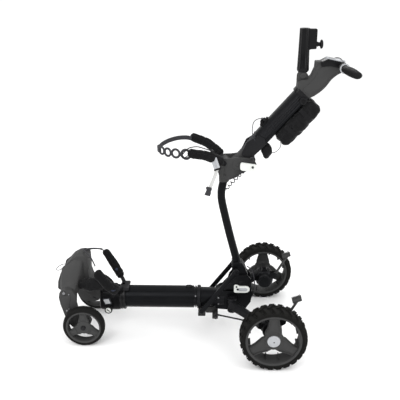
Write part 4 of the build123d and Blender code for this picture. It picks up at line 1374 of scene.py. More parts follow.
@dataclass
class RearEnd:
    """The bracket behind the tube, the braces, the arms with their motors, and the pedals."""

    pivot: tuple[float, float] = (-122.0, 245.0)
    half: float = 36.0
    tube_z: float = 155.0

    def build(self) -> None:
        """Makes the pieces between the tube and the rear wheels."""
        self._bracket()
        self._braces()
        self._yoke()
        for name, side in (("left", -1), ("right", 1)):
            self._arm(name, side)
            self._motor(name, side)
            self._pedal(name, side)
        self._lever()

    def _bracket(self) -> None:
        """The casting with the post's cheeks, the arm lugs and the pins."""
        px, pz = self.pivot
        stub = [(38, -138), (44, -138), (44, -124), (54, -122.5), (54, -109), (52, -107.5), (45, -106),
                (44, -60),
                (42, 0), (38, 0)]
        form = Form().lathe(stub, (-200, 0, self.tube_z), (1, 0, 0), 72, closed=True)
        body = [(-240, 113), (-243, 150), (-240, 190), (-222, 206), (-202, 212), (-78, 212), (-74, 190),
                (-80, 150),
                (-104, 113), (-170, 108)]
        form.prism(eased(body, 12, 3), -self.half, self.half, 5.0, 3)
        cheek = [(-215, 205), (-186, 232), (-178, 262), (-160, 285), (-98, 285), (-80, 262), (-78, 205)]
        for way in (1, -1):
            form.prism(eased(cheek, 10, 3), way * 28.2, way * self.half, 2.0, 2)
            form.prism(eased([(-206, 214), (-176, 246), (-168, 240), (-196, 208)], 3, 2),
                       way * (self.half - 1),
                       way * (self.half + 2.4), 1.0, 1)
        rib = [(-232, 120), (-226, 120), (-226, 196), (-232, 196)]
        for way in (1, -1):
            form.prism(rib, way * (self.half - 1), way * (self.half + 3), 1.2)
        for side in (1, -1):
            lugs = Form(side)
            for z0 in (115.5, 172.5):
                lugs.lathe([(7, z0), (18.6, z0), (20, z0 + 1.4), (20, z0 + 8.6), (18.6, z0 + 10),
                            (7, z0 + 10)],
                           (-165, 60, 0), (0, 0, 1), 36, closed=True)
                lugs.prism(eased([(-186, 30), (-144, 30), (-146, 52), (-152, 60), (-178, 60), (-184, 52)], 4,
                                 2),
                           z0 + 0.6, z0 + 9.4, 1.4, 2, flat=True)
            lugs.lathe([(0, 113.5), (7, 113.5), (7, 184.5), (0, 184.5)], (-165, 60, 0), (0, 0, 1), 24)
            lugs.lathe([(0, 184), (9, 184), (10, 185.4), (9, 189), (0, 190)], (-165, 60, 0), (0, 0, 1), 6)
            form.take(lugs.bm)
        form.lathe([(0, -39), (9, -39), (11.5, -37.5), (11.5, -35), (7, -35), (7, 35), (11.5, 35),
                    (11.5, 37.5),
                    (9, 39), (0, 39)], (px, 0, pz), steps=32)
        form.lathe([(0, -50), (4.2, -50), (5, -49), (5, -34), (0, -34)], (px - 18, 0, pz - 26), steps=24)
        form.piece("rear_casting", "frame", ALLOY, "rear_bracket", angle=40)
        bolt = Form().lathe([(0, -40.6), (3.4, -40.6), (4.4, -39.4), (4.4, -35), (0, -35)], (-226, 0, 170),
                            steps=6)
        bolts = [Repeat.ring(bolt, "bolts", STEEL, 2, (-226, 0, 155)), ]
        screw = Form().lathe([(0, 56), (2.8, 55.6), (3.6, 54.4), (3.6, 52), (0, 52)], (-330, 0, self.tube_z),
                             (0, 0, 1), 16)
        bolts.append(Repeat.ring(screw, "bolts", STEEL, 6, (-330, 0, self.tube_z), (1, 0, 0), phase=-60))
        dress(joined(bolts, "casting_bolts"), "frame", STEEL)

    def _braces(self) -> None:
        """The two brace links with their cross pin, and the shoe below the tube."""
        top, foot = Vector((-150, 0, 312)), Vector((-302, 0, 112))
        form = Form()
        for side in (1, -1):
            ahead = (foot - top).normalized()
            across = Vector((ahead.z, 0, -ahead.x))
            rows = []
            for t, w in ((0, 13), (0.06, 11.5), (0.14, 10.5), (0.86, 10.5), (0.94, 11), (1, 11)):
                p = top.lerp(foot, t)
                rows.append((p, w))
            outline = [(p + across * w) for p, w in rows] + [(p - across * w) for p, w in rows[::-1]]
            form.prism([(p.x, p.z) for p in outline], side * 58, side * 65, 1.8, 2)
            for centre, r in ((top, 13.0), (foot, 11.0)):
                form.lathe([(0, 57.9), (r, 57.9), (r, 64), (r - 1.4, 65.2), (8, 65.4), (7.4, 68.4),
                            (5, 69.2), (0, 69.2)],
                           (centre.x, 0, centre.z), (0, side, 0), 32)
        form.lathe([(0, -60), (5, -60), (5, 60), (0, 60)], (top.x, 0, top.z), steps=24)
        form.piece("brace_pair", "braces", ALLOY, "brace_links")
        shoe = Form().prism(eased([(-319, -57), (-285, -57), (-285, 57), (-319, 57)], 4, 2), 86, 95, 2.0, 2,
                            flat=True)
        for side in (1, -1):
            shoe.prism(eased([(-319, 86), (-285, 86), (-287, 116), (-296, 124), (-308, 124), (-317, 116)], 4,
                             3),
                       side * 50, side * 57, 1.6, 2)
        shoe.prism([(-314, -20), (-290, -20), (-290, 20), (-314, 20)], 80, 88, 2.0, 2, flat=True)
        shoe.piece("shoe_block", "shoe", MOULDED, "brace_shoe")

    def _yoke(self) -> None:
        """The yoke that draws both arms in, with its two pins."""
        form = Form().prism(eased([(-284, 80), (-286, 96), (-276, 110), (-252, 110), (-244, 98), (-244, 80)],
                                  6, 3),
                            -18, 18, 3.0, 3)
        form.prism(eased([(-254, -68), (-228, -68), (-228, 68), (-254, 68)], 6, 3), 78, 88, 2.0, 2, flat=True)
        for y in (58, -58):
            form.lathe([(0, 84), (5, 84), (5, 104), (4, 106), (0, 106)], (-238, y, 0), (0, 0, 1), 24)
            form.lathe([(0, 74), (7, 74), (8, 75.4), (8, 79), (0, 79)], (-238, y, 0), (0, 0, 1), 6)
        form.piece("yoke_bar", "yoke", MOULDED, "arm_yoke")
        for name, side in (("left", -1), ("right", 1)):
            rod = Form(side).lathe([(5.05, 88.5), (8, 88.5), (9, 89.8), (9, 101.2), (8, 102.5),
                                    (5.05, 102.5)],
                                   (-238, 58, 0), (0, 0, 1), 32, closed=True)
            start, end = Vector((-238, 58, 95.5)), Vector((-104, 180, 138))
            ahead = (end - start).normalized()
            reach = (end - start).length
            rod.lathe([(0, 7), (4.6, 7), (4.6, 22), (3.5, 24), (3.5, reach - 24), (4.6, reach - 22),
                       (4.6, reach - 5), (0, reach - 5)], start, ahead, 16)
            rod.lathe([(0.0, -6), (3.2, -5.1), (5.2, -3), (6, 0), (5.2, 3), (3.2, 5.1), (0.0, 6)], end,
                      ahead, 20)
            rod.piece(f"pull_rod_{name}", f"tie_rod_{name}", DARK_STEEL, f"tie_rod_{name}")

    def _arm(self, name: str, side: int) -> None:
        """A swinging arm as one cast beam with a web.

        Args:
            name: Left or right.
            side: -1 for the left, 1 for the right.
        """
        a, b = Vector((-165, 60, 149)), Vector((-46, 222, 149))
        form = Form(side)
        rings = []
        for t, w, h in ((0.09, 31, 44), (0.2, 30, 42), (0.4, 28, 38), (0.62, 27, 36), (0.85, 29, 37),
                        (0.97, 30, 38)):
            p = a.lerp(b, t)
            ahead = (b - a).normalized()
            across = Vector((-ahead.y, ahead.x, 0))
            rings.append([p + across * u + Vector((0, 0, v)) for u, v in rounded_rect(w, h, 7, 4)])
        form.loft(rings)
        form.lathe([(7.1, 126.2), (17, 126.2), (19, 128), (19, 170), (17, 171.8), (7.1, 171.8)],
                   (a.x, a.y, 0),
                   (0, 0, 1), 40, closed=True)
        form.lathe([(0, 130), (13, 130), (15, 132), (15, 166), (13, 168), (0, 168)], (b.x, b.y, 0),
                   (0, 0, 1), 40)
        for t in (0.3, 0.46, 0.62):
            p = a.lerp(b, t)
            form.lathe([(0, 171), (3.6, 170.6), (4.6, 169.4), (4.6, 164), (0, 164)], (p.x, p.y, -1.2),
                       (0, 0, 1), 16)
        form.piece(f"arm_beam_{name}", f"arm_{name}", ALLOY, f"rear_arm_{name}", angle=40)

    def _motor(self, name: str, side: int) -> None:
        """A drive motor with ribs, its end bell, axle, ears and screws.

        Args:
            name: Left or right.
            side: -1 for the left, 1 for the right.
        """
        profile = [(0, 174), (22, 174), (31, 176), (34, 180), (34, 198), (38, 200), (42, 204)]
        for i in range(5):
            y = 209 + i * 10
            profile += [(42, y), (40, y + 1.4), (40, y + 3.6), (42, y + 5)]
        profile += [(42, 261), (40, 265), (30, 266), (10, 266), (10, 328), (0, 328)]
        form = Form(side).lathe(profile, (0, 0, 140), steps=64)
        form.prism(eased([(-46, 131), (-46, 167), (-20, 170), (0, 168), (0, 128), (-20, 130)], 5, 3), 204,
                   248, 3.0, 3)
        hx, hz = 54, 166
        ear = eased([(20, 128), (hx + 6, hz - 10), (hx + 8, hz + 6), (hx - 4, hz + 9), (20, 172)], 6, 3)
        for y0 in (201, 223):
            form.prism(ear, y0, y0 + 6, 1.4, 2)
        form.lathe([(0, 202), (4, 202), (4, 228), (0, 228)], (hx, 0, hz), steps=20)
        form.lathe([(0, 199), (6, 199), (7, 200), (7, 201.4), (0, 201.4)], (hx, 0, hz), steps=20)
        form.prism(eased([(-16, 170), (16, 170), (12, 192), (-12, 192)], 5, 3), 206, 232, 3.0, 3)
        housing = form.object("housing")
        screw = Form(side).lathe([(0, 172.6), (2.6, 173), (3.4, 174.6), (3.4, 178), (0, 178)], (0, 0, 166),
                                 steps=14)
        screws = Repeat.ring(screw, "screws", ALLOY, 5, (0, 0, 140))
        fin = Form(side).prism([(-1.5, 178), (1.5, 178), (1.5, 184.4), (-1.5, 184.4)], 212, 256, 0.8, 1)
        fins = Repeat.ring(fin, "fins", ALLOY, 9, (0, 0, 140), turn=16, phase=-64)
        made = joined([housing, screws, fins], f"motor_shell_{name}")
        dress(made, f"arm_{name}", ALLOY, f"motor_housing_{name}", angle=40)

    def _pedal(self, name: str, side: int) -> None:
        """A brake pedal with a ribbed tread.

        Args:
            name: Left or right.
            side: -1 for the left, 1 for the right.
        """
        hx, hz = 54.0, 166.0
        tx, tz = hx + 66.0, hz + 102.0
        form = Form(side).lathe([(4.1, 207.6), (7, 207.6), (8, 208.6), (8, 221.4), (7, 222.4), (4.1, 222.4)],
                                (hx, 0, hz), steps=28, closed=True)
        form.tube([(hx + 3, 215, hz + 5), (hx + 26, 215, hz + 47), (tx - 12, 215, tz - 4)], 5.8)
        tread = eased([(tx - 36, tz - 13), (tx - 38, tz - 5), (tx, tz + 10), (tx + 3, tz + 2)], 3, 3)
        form.prism(tread, 196, 234, 1.8, 2)
        base = form.object("pedal")
        rib = Form(side).prism([(-1, -1.2), (1, -1.2), (1, 1.2), (-1, 1.2)], -15, 15, 0.5, 1)
        path = [Layout.at(tx - 34 + 32 * t, 215 * side, tz - 4.6 + 13.4 * t) for t in (0.0, 1.0)]
        ribs = Repeat.row(rib, "ribs", MOULDED, path, 7)
        dress(joined([base, ribs], f"pedal_pad_{name}"), f"pedal_{name}", MOULDED, f"brake_pedal_{name}")

    def _lever(self) -> None:
        """The white release lever beside the post's foot."""
        px, pz = self.pivot
        z = pz - 26
        outline = [(px - 35, z + 17), (px - 35, z - 12), (px - 30, z - 17), (px + 18, z - 17),
                   (px + 28, z - 14),
                   (px + 35, z - 5), (px + 35, z + 4), (px + 28, z + 12), (px + 18, z + 14),
                   (px - 10, z + 14),
                   (px - 18, z + 20), (px - 30, z + 21)]
        Form().prism(eased(outline, 6, 4), -47, -40, 2.4, 3).piece(
            "post_release", "post_lever", WHITE, "post_lever", angle=40
        )
        inset = eased([(px - 14, z - 9), (px + 22, z - 9), (px + 26, z), (px + 20, z + 7), (px - 14, z + 7)],
                      4, 3)
        Form().prism(inset, -47.9, -46.6, 0.5, 2).piece("post_release_panel", "post_lever", GREY)
        Form().lathe([(0, -51), (3.2, -51), (4, -50), (4, -46), (0, -46)], (px - 24, 0, z + 13),
                     steps=20).piece(
            "post_release_pin", "post_lever", MOULDED
        )


# ------------------------------------------------------------------ post and cradles


@dataclass
class Post:
    """The curved post, its head with the handle's cheeks, and the handle's release lever."""

    line: list[tuple[float, float]] = field(
        default_factory=lambda: [
            (-128, 290), (-146, 345), (-164, 412), (-183, 485), (-200, 557), (-214, 620), (-218, 657),
            (-215, 690),
            (-203, 748),
        ]
    )
    handle_pivot: tuple[float, float] = (-152.0, 801.0)

    def build(self) -> None:
        """Makes the post's pieces."""
        self._tube()
        self._head()
        self._lever()

    def _tube(self) -> None:
        """The flat-sided tube and the cast foot that it stands in."""
        path = smooth([(x, 0, z) for x, z in self.line], 6)
        form = Form().sweep(path, rounded_rect(44, 34, 13, 6), up=(0, 1, 0))
        px, pz = -122.0, 245.0
        foot = [(px - 31, pz + 4), (px - 24, pz - 22), (px, pz - 31), (px + 24, pz - 22), (px + 31, pz),
                (px + 27, pz + 34),
                (px + 12, pz + 74), (px - 2, pz + 96), (px - 46, pz + 90), (px - 44, pz + 50)]
        form.prism(eased(foot, 12, 3), -27.4, 27.4, 3.4, 3)
        form.prism(eased([(px - 38, pz + 62), (px - 2, pz + 70), (px - 12, pz + 102), (px - 48, pz + 94)], 6,
                         3),
                   -29.5, 29.5, 4.0, 3)
        form.piece("post_beam", "post", ALLOY, "post_tube", angle=40)

    def _head(self) -> None:
        """The head's core, cheeks, bolts and stops."""
        hx, hz = self.handle_pivot
        form = Form().prism(
            eased([(-228, 734), (-231, 772), (-228, 800), (-206, 828), (-185, 818), (-183, 772),
                   (-186, 734)], 10, 3),
            -31, 31, 4.0, 3,
        )
        cheek = [(-226, 736), (-233, 770), (-230, 802), (-208, 829), (-176, 830), (-150, 834), (-112, 832),
                 (-82, 822),
                 (-70, 803), (-80, 786), (-128, 768), (-158, 746), (-182, 736)]
        for way in (1, -1):
            form.prism(eased(cheek, 12, 3), way * 31.4, way * 39.4, 2.4, 3)
            form.lathe([(7, 38.6), (21, 38.6), (23, 40.2), (21, 42.2), (9, 42.6), (0.0, 42.6)], (hx, 0, hz),
                       (0, way, 0), 40)
            form.lathe([(0, 44.8), (5.4, 44.6), (7, 43.2), (7, 41), (0, 41)], (hx, 0, hz), (0, way, 0), 6)
            form.lathe([(0, 43), (5, 42.6), (6, 41), (6, 38), (0, 38)], (-206, 0, 792), (0, way, 0), 20)
            form.lathe([(0, 43), (5, 42.6), (6, 41), (6, 38), (0, 38)], (-206, 0, 752), (0, way, 0), 20)
            form.prism(eased([(-224, 742), (-212, 742), (-208, 800), (-222, 800)], 5, 3), way * 38.6,
                       way * 42, 1.6, 2)
        form.lathe([(0, -40), (7, -40), (7, 40), (0, 40)], (hx, 0, hz), steps=28)
        form.lathe([(0, -74), (4, -74), (5, -73), (5, -39), (0, -39)], (hx + 62, 0, hz), steps=24)
        sleeve = [(0, 37), (9, 37), (11, 39), (11, 58), (9, 60.5), (0, 60.5)]
        form.lathe(sleeve, (hx + 62, 0, hz), (0, -1, 0), 28)
        neck = [(w, h, 734 + 1.0 * z) for w, h, z in ((40, 52, -14), (44, 56, -8), (46, 60, 4))]
        rings = []
        for w, h, z in neck:
            x = -203 + (z - 748) * 0.18
            rings.append([(x + u, v, z) for u, v in rounded_rect(w, h, 12, 5)])
        form.loft(rings)
        form.piece("head_casting", "post", MOULDED, "post_head", angle=40)

    def _lever(self) -> None:
        """The white release lever of the handle."""
        hx, hz = self.handle_pivot
        x0, x1 = hx + 10, hx + 77
        outline = [(x0 + 4, hz + 19), (x0, hz + 8), (x0 + 1, hz - 10), (x0 + 10, hz - 15), (x1 - 6, hz - 18),
                   (x1, hz - 12), (x1 + 2, hz + 6), (x1 - 4, hz + 11), (x0 + 22, hz + 17)]
        Form().prism(eased(outline, 6, 4), -70.0, -61.0, 2.4, 3).piece(
            "handle_release", "handle_lever", WHITE, "handle_lever", angle=40
        )


@dataclass
class Pad:
    """A padded cloth sleeve on a cradle arm, with its seams, and the arm itself on an upper cradle."""

    name: str
    side: int
    level: str
    line: Sequence[Point]
    arm_line: Sequence[Point]
    arm_radius: float
    width: float
    height: float
    seed: float

    def build(self) -> None:
        """Makes the padded sleeve, and the arm of an upper one."""
        arm_body = "frame" if self.level == "lower" else "post"
        path = smooth(self.line, 7)
        section = oval(self.height, self.width, 20)
        pts = [Vector(p) for p in path]
        first, last = (pts[0] - pts[1]).normalized(), (pts[-1] - pts[-2]).normalized()
        rings = []
        ends = [(pts[0] + first * 9, 0.35), (pts[0] + first * 5, 0.72), (pts[0] + first * 1.5, 0.93)]
        tail = [(pts[-1] + last * 2, 0.93), (pts[-1] + last * 7, 0.74), (pts[-1] + last * 11, 0.4)]
        spots = [*ends, *((p, 1.0) for p in pts), *tail]
        frames = frames_along([p for p, _ in spots], Vector((0, 0, 1)))
        for i, ((p, s), (n, b)) in enumerate(zip(spots, frames)):
            su, sv = self._swell(i / (len(spots) - 1))
            rings.append([p + (n * u * su + b * v * sv) * s for u, v in section])
        pad = Form(self.side).loft(rings).object(f"{self.level}_sleeve_{self.name}")
        Stuffing(voxel=4.5, cap=5.0, wrinkle=1.1, seed=self.seed).settle(pad)
        self._seams(pad, pts, frames[3:-3])
        for share in (0.22, 0.5, 0.78):
            k = int(share * (len(pts) - 1))
            n, b = frames[3 + k]
            hoop = [pts[k] + n * u + b * v for u, v in oval(self.height, self.width, 40)]
            pinch(pad.data, [Layout.at(q.x, q.y * self.side, q.z) for q in hoop], 6.5, 1.5)
        dress(pad, arm_body, PADDING, f"{self.level}_pad_{self.name}", angle=60)
        if self.level == "upper":
            arm = Form(self.side).tube(smooth(self.arm_line, 6), self.arm_radius, 18, dome=True)
            arm.piece(f"upper_tube_{self.name}", arm_body, POWDER, f"upper_arm_{self.name}")

    def _swell(self, t: float) -> tuple[float, float]:
        """How full the sleeve is, in height and in width.

        Args:
            t: Share of the way along the sleeve.

        Returns:
            Its share of the full height, and of the full width.
        """
        return (
            0.90 + 0.10 * math.sin(math.pi * min(1.0, 0.12 + t)),
            0.86 + 0.14 * math.sin(math.pi * min(1.0, 0.15 + 0.9 * t)),
        )

    def _seams(
        self, pad: bpy.types.Object, pts: Sequence[Vector], frames: Sequence[tuple[Vector, Vector]]
    ) -> None:
        """Draws the cover in along its seams and adds the stitches.

        Args:
            pad: The sleeve.
            pts: The sleeve's middle line.
            frames: Directions across it.
        """
        stitches = []
        for turn in (0.35, 2.3):
            seam = []
            for p, (n, b) in zip(pts, frames):
                q = p + n * self.height / 2 * math.sin(turn) + b * self.width / 2 * math.cos(turn)
                seam.append(Layout.at(q.x, q.y * self.side, q.z))
            dense = smooth([tuple(q * 1000) for q in seam], 3)
            dense = [q / 1000 for q in dense]
            near = []
            for q in dense:
                vert = min(pad.data.vertices, key=lambda v: (v.co - q).length_squared)
                near.append(vert.co.copy())
            pinch(pad.data, near, 7.0, 1.8)
            outward = [
                (q - Layout.at(p.x, p.y * self.side, p.z)).normalized() * 0.0009
                for q, p in zip(near[::3], pts)
            ]
            line = [q - o * 0.6 for q, o in zip(near[::3], outward)]
            stitches.append(line)
        body = "frame" if self.level == "lower" else "post"
        made = []
        for line in stitches:
            stitch = Form().lathe([(0, -1.7), (0.42, -1.2), (0.5, 0), (0.42, 1.2), (0, 1.7)], (0, 0, 0),
                                  (0, 0, 1), 6)
            total = length_of(line)
            made.append(Repeat.row(stitch, "stitch", PADDING, line, max(6, int(total / 0.0052))))
        dress(joined(made, f"{self.level}_stitches_{self.name}"), body, RUBBER)


@dataclass
class Cradles:
    """The padded arms at both ends of the bag, with the rubber strap, hook, buckle and webbing."""

    strap_z: float = 868.0

    def build(self) -> None:
        """Makes both cradles."""
        upper = [(-222, 57, 822), (-240, 71, 834), (-280, 102, 858), (-345, 130, 877)]
        upper_arm = [(-205, 34, 806), (-226, 60, 826), (-280, 102, 858), (-342, 129, 876)]
        lower = [(-684, 70, 223), (-692, 80, 232), (-722, 102, 272), (-757, 112, 326)]
        for i, (name, side) in enumerate((("left", -1), ("right", 1))):
            Pad(name, side, "upper", upper, upper_arm, 10.0, 35.0, 44.0, 1.0 + i).build()
            Pad(name, side, "lower", lower, lower, 9.0, 34.0, 50.0, 3.0 + i).build()
        self._lower_frame()
        self._loose_cloth()
        self._strap()
        self._hook()
        self._buckle()

    def _lower_frame(self) -> None:
        """The saddle on the tube with both lower arms, and the pale patches on the sleeves."""
        form = Form()
        arm = [(-666, 34, 216), (-686, 74, 224), (-722, 102, 272), (-755, 111, 322)]
        saddle = []
        for x in (-672, -668, -638, -634):
            inset = 2.0 if x in (-672, -634) else 0.0
            ring = [(-40 + inset, 203), (-35, 215 - inset), (-20, 218 - inset), (20, 218 - inset),
                    (35, 215 - inset),
                    (40 - inset, 203), (30, 205), (0, 207), (-30, 205)]
            saddle.append([(x, y, z) for y, z in ring])
        form.loft(saddle)
        for side in (1, -1):
            form.take(Form(side).tube(smooth(arm, 6), 9.0, 18, dome=True).bm)
        form.piece("lower_saddle", "frame", POWDER, "lower_cradle")
        for name, side in (("left", -1), ("right", 1)):
            patch = []
            for t in range(5):
                s = t / 4
                c = Vector((-702 + 5 * s, 85 + 5 * s, 240 + 9 * s))
                patch.append(c)
            band = Form(side).sweep(
                patch, oval(41.0, 40.0, 24), up=(0, 0, 1)
            )
            band.piece(f"sleeve_tag_{name}", "frame", SLATE)

    def _loose_cloth(self) -> None:
        """The slack cloth between the crown and the left sleeve."""
        path = smooth([(-738, -96, 262), (-772, -94, 262), (-806, -84, 256), (-842, -70, 248)], 5)

        def sizes(t: float) -> tuple[float, float]:
            """How full the cloth is, a share of the way along it."""
            return (0.72 + 0.34 * math.sin(math.pi * (0.1 + 0.8 * t)), 0.8 + 0.2 * t)

        cloth = Form().sweep(path, oval(58, 38, 20), up=(0, 0, 1), scale=sizes).object("slack_cloth")
        Stuffing(voxel=4.5, cap=4.0, pressure=2.0, wrinkle=3.4, seed=12.0).settle(cloth)
        dress(cloth, "frame", NYLON, angle=60)

    def _strap(self) -> None:
        """The rubber strap: a plain band to the right arm, and a row of rings on the left."""
        z = self.strap_z
        right = [(-350, 118, z + 6), (-374, 114, z + 11), (-408, 101, z + 12), (-444, 80, z + 7),
                 (-471, 48, z),
                 (-485, 12, z - 7)]
        form = Form().sweep(smooth(right, 8), rounded_rect(19, 7, 2.8, 4), up=(0, 0, 1))
        centres = [(-364, -112, 24, 13.0), (-406, -100, 22, 12.0), (-440, -82, 20.5, 11.0),
                   (-466, -58, 19, 10.0)]
        for i, (x, y, outer, inner) in enumerate(centres):
            prev = Vector((centres[max(i - 1, 0)][0], centres[max(i - 1, 0)][1], 0))
            after = Vector((centres[min(i + 1, 3)][0], centres[min(i + 1, 3)][1], 0))
            along = (after - prev).normalized()
            normal = Vector((-along.y, along.x, 0))
            mid, half = (outer + inner) / 2, (outer - inner) / 2
            ring = [(mid + half * math.cos(a),
                     4.2 * math.sin(a)) for a in (k * math.pi / 5 for k in range(10))]
            form.lathe(ring, (x, y, z), normal, 36, closed=True)
        links = [(-386, -106.5, 6.0), (-424, -92, 6.0), (-454, -71, 6.0)]
        for (x, y, h), k in zip(links, range(3)):
            a, b = Vector(centres[k][:2]), Vector(centres[k + 1][:2])
            d = (b - a).normalized()
            path = [(x - d.x * 6, y - d.y * 6, z), (x + d.x * 6, y + d.y * 6, z)]
            form.sweep(path, rounded_rect(h * 2, 6.4, 2.4, 3), up=(0, 0, 1))
        nose = [(-473, -44, z - 1), (-481, -28, z - 3), (-486, -8, z - 6), (-486, 12, z - 7)]
        form.sweep(smooth(nose, 5), rounded_rect(26, 7.4, 2.8, 4), up=(0, 0, 1))
        strap = form.piece("rubber_strap", "post", RUBBER, "bag_strap", angle=40)
        Layout.at(-362, 0, z)
        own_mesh(strap)

    def _hook(self) -> None:
        """The wire hook that catches a ring, with its small knob."""
        wire = [(-384, -126, 866), (-376, -134, 874), (-362, -138, 892), (-346, -138, 903), (-318, -134, 906),
                (-292, -122, 896), (-262, -108, 882)]
        form = Form().tube(smooth(wire, 6), 2.1, 10, dome=True)
        loop = [(-384, -126, 866), (-378, -122, 858), (-366, -122, 858), (-356, -126, 866)]
        form.tube(smooth(loop, 5), 2.1, 10, dome=True)
        form.lathe([(0, -7.2), (4.4, -6), (6.6, -3), (7.2, 0.5), (6, 4.4), (3.2, 6.8), (0, 7.4)],
                   (-258, -106, 879),
                   (0.6, 0.3, -0.5), 24)
        form.piece("wire_hook", "post", DARK_STEEL, "strap_hook")

    def _buckle(self) -> None:
        """The pale buckle with a dark bar, the pale webbing and its black tip."""
        y = -94.0
        plate = [(-264, 842), (-240, 851), (-225, 806), (-249, 797)]
        Form().prism(eased(plate, 3.5, 3), y - 5, y + 4, 1.4, 3).piece(
            "buckle_plate", "post", GREY, "strap_buckle"
        )
        teeth = Form().prism([(-8, -0.8), (8, -0.8), (8, 0.8), (-8, 0.8)], -0.8, 0.8, 0.3, 1)
        path = [Layout.at(-249, y - 5.4, 837), Layout.at(-239, y - 5.4, 809)]
        turned = Repeat.row(teeth, "teeth", GREY, path, 7)
        dress(turned, "post", GREY)
        turned.name = "buckle_teeth"
        bar = [(-251, 800), (-222, 810), (-220, 803), (-249, 793)]
        form = Form().prism(eased(bar, 2.5, 3), y - 6.5, y + 5.5, 1.4, 2)
        form.prism(eased([(-252, 828), (-236, 830), (-234, 812), (-250, 810)], 3, 2), y + 3, y + 34, 1.5, 2)
        form.piece("buckle_bar", "post", GLOSS)
        strip = [(-239, y, 798), (-243, y, 780), (-252, y, 755), (-260, y, 735), (-267, y, 716)]
        web = Form().sweep(smooth(strip, 5), rounded_rect(15, 2.0, 0.9, 2), up=(1, 0, 0.3))
        web.piece("pale_strap", "post", WEBBING, "strap_webbing")
        tip = [(-278, 724), (-262, 721), (-257, 714), (-262, 703), (-262, 694), (-266, 682), (-290, 688),
               (-284, 700),
               (-280, 710), (-284, 718)]
        Form().prism(eased(tip, 2.5, 3), y - 3.2, y + 3.2, 1.2, 2).piece("strap_end", "post", RUBBER)


# ------------------------------------------------------------------ handle


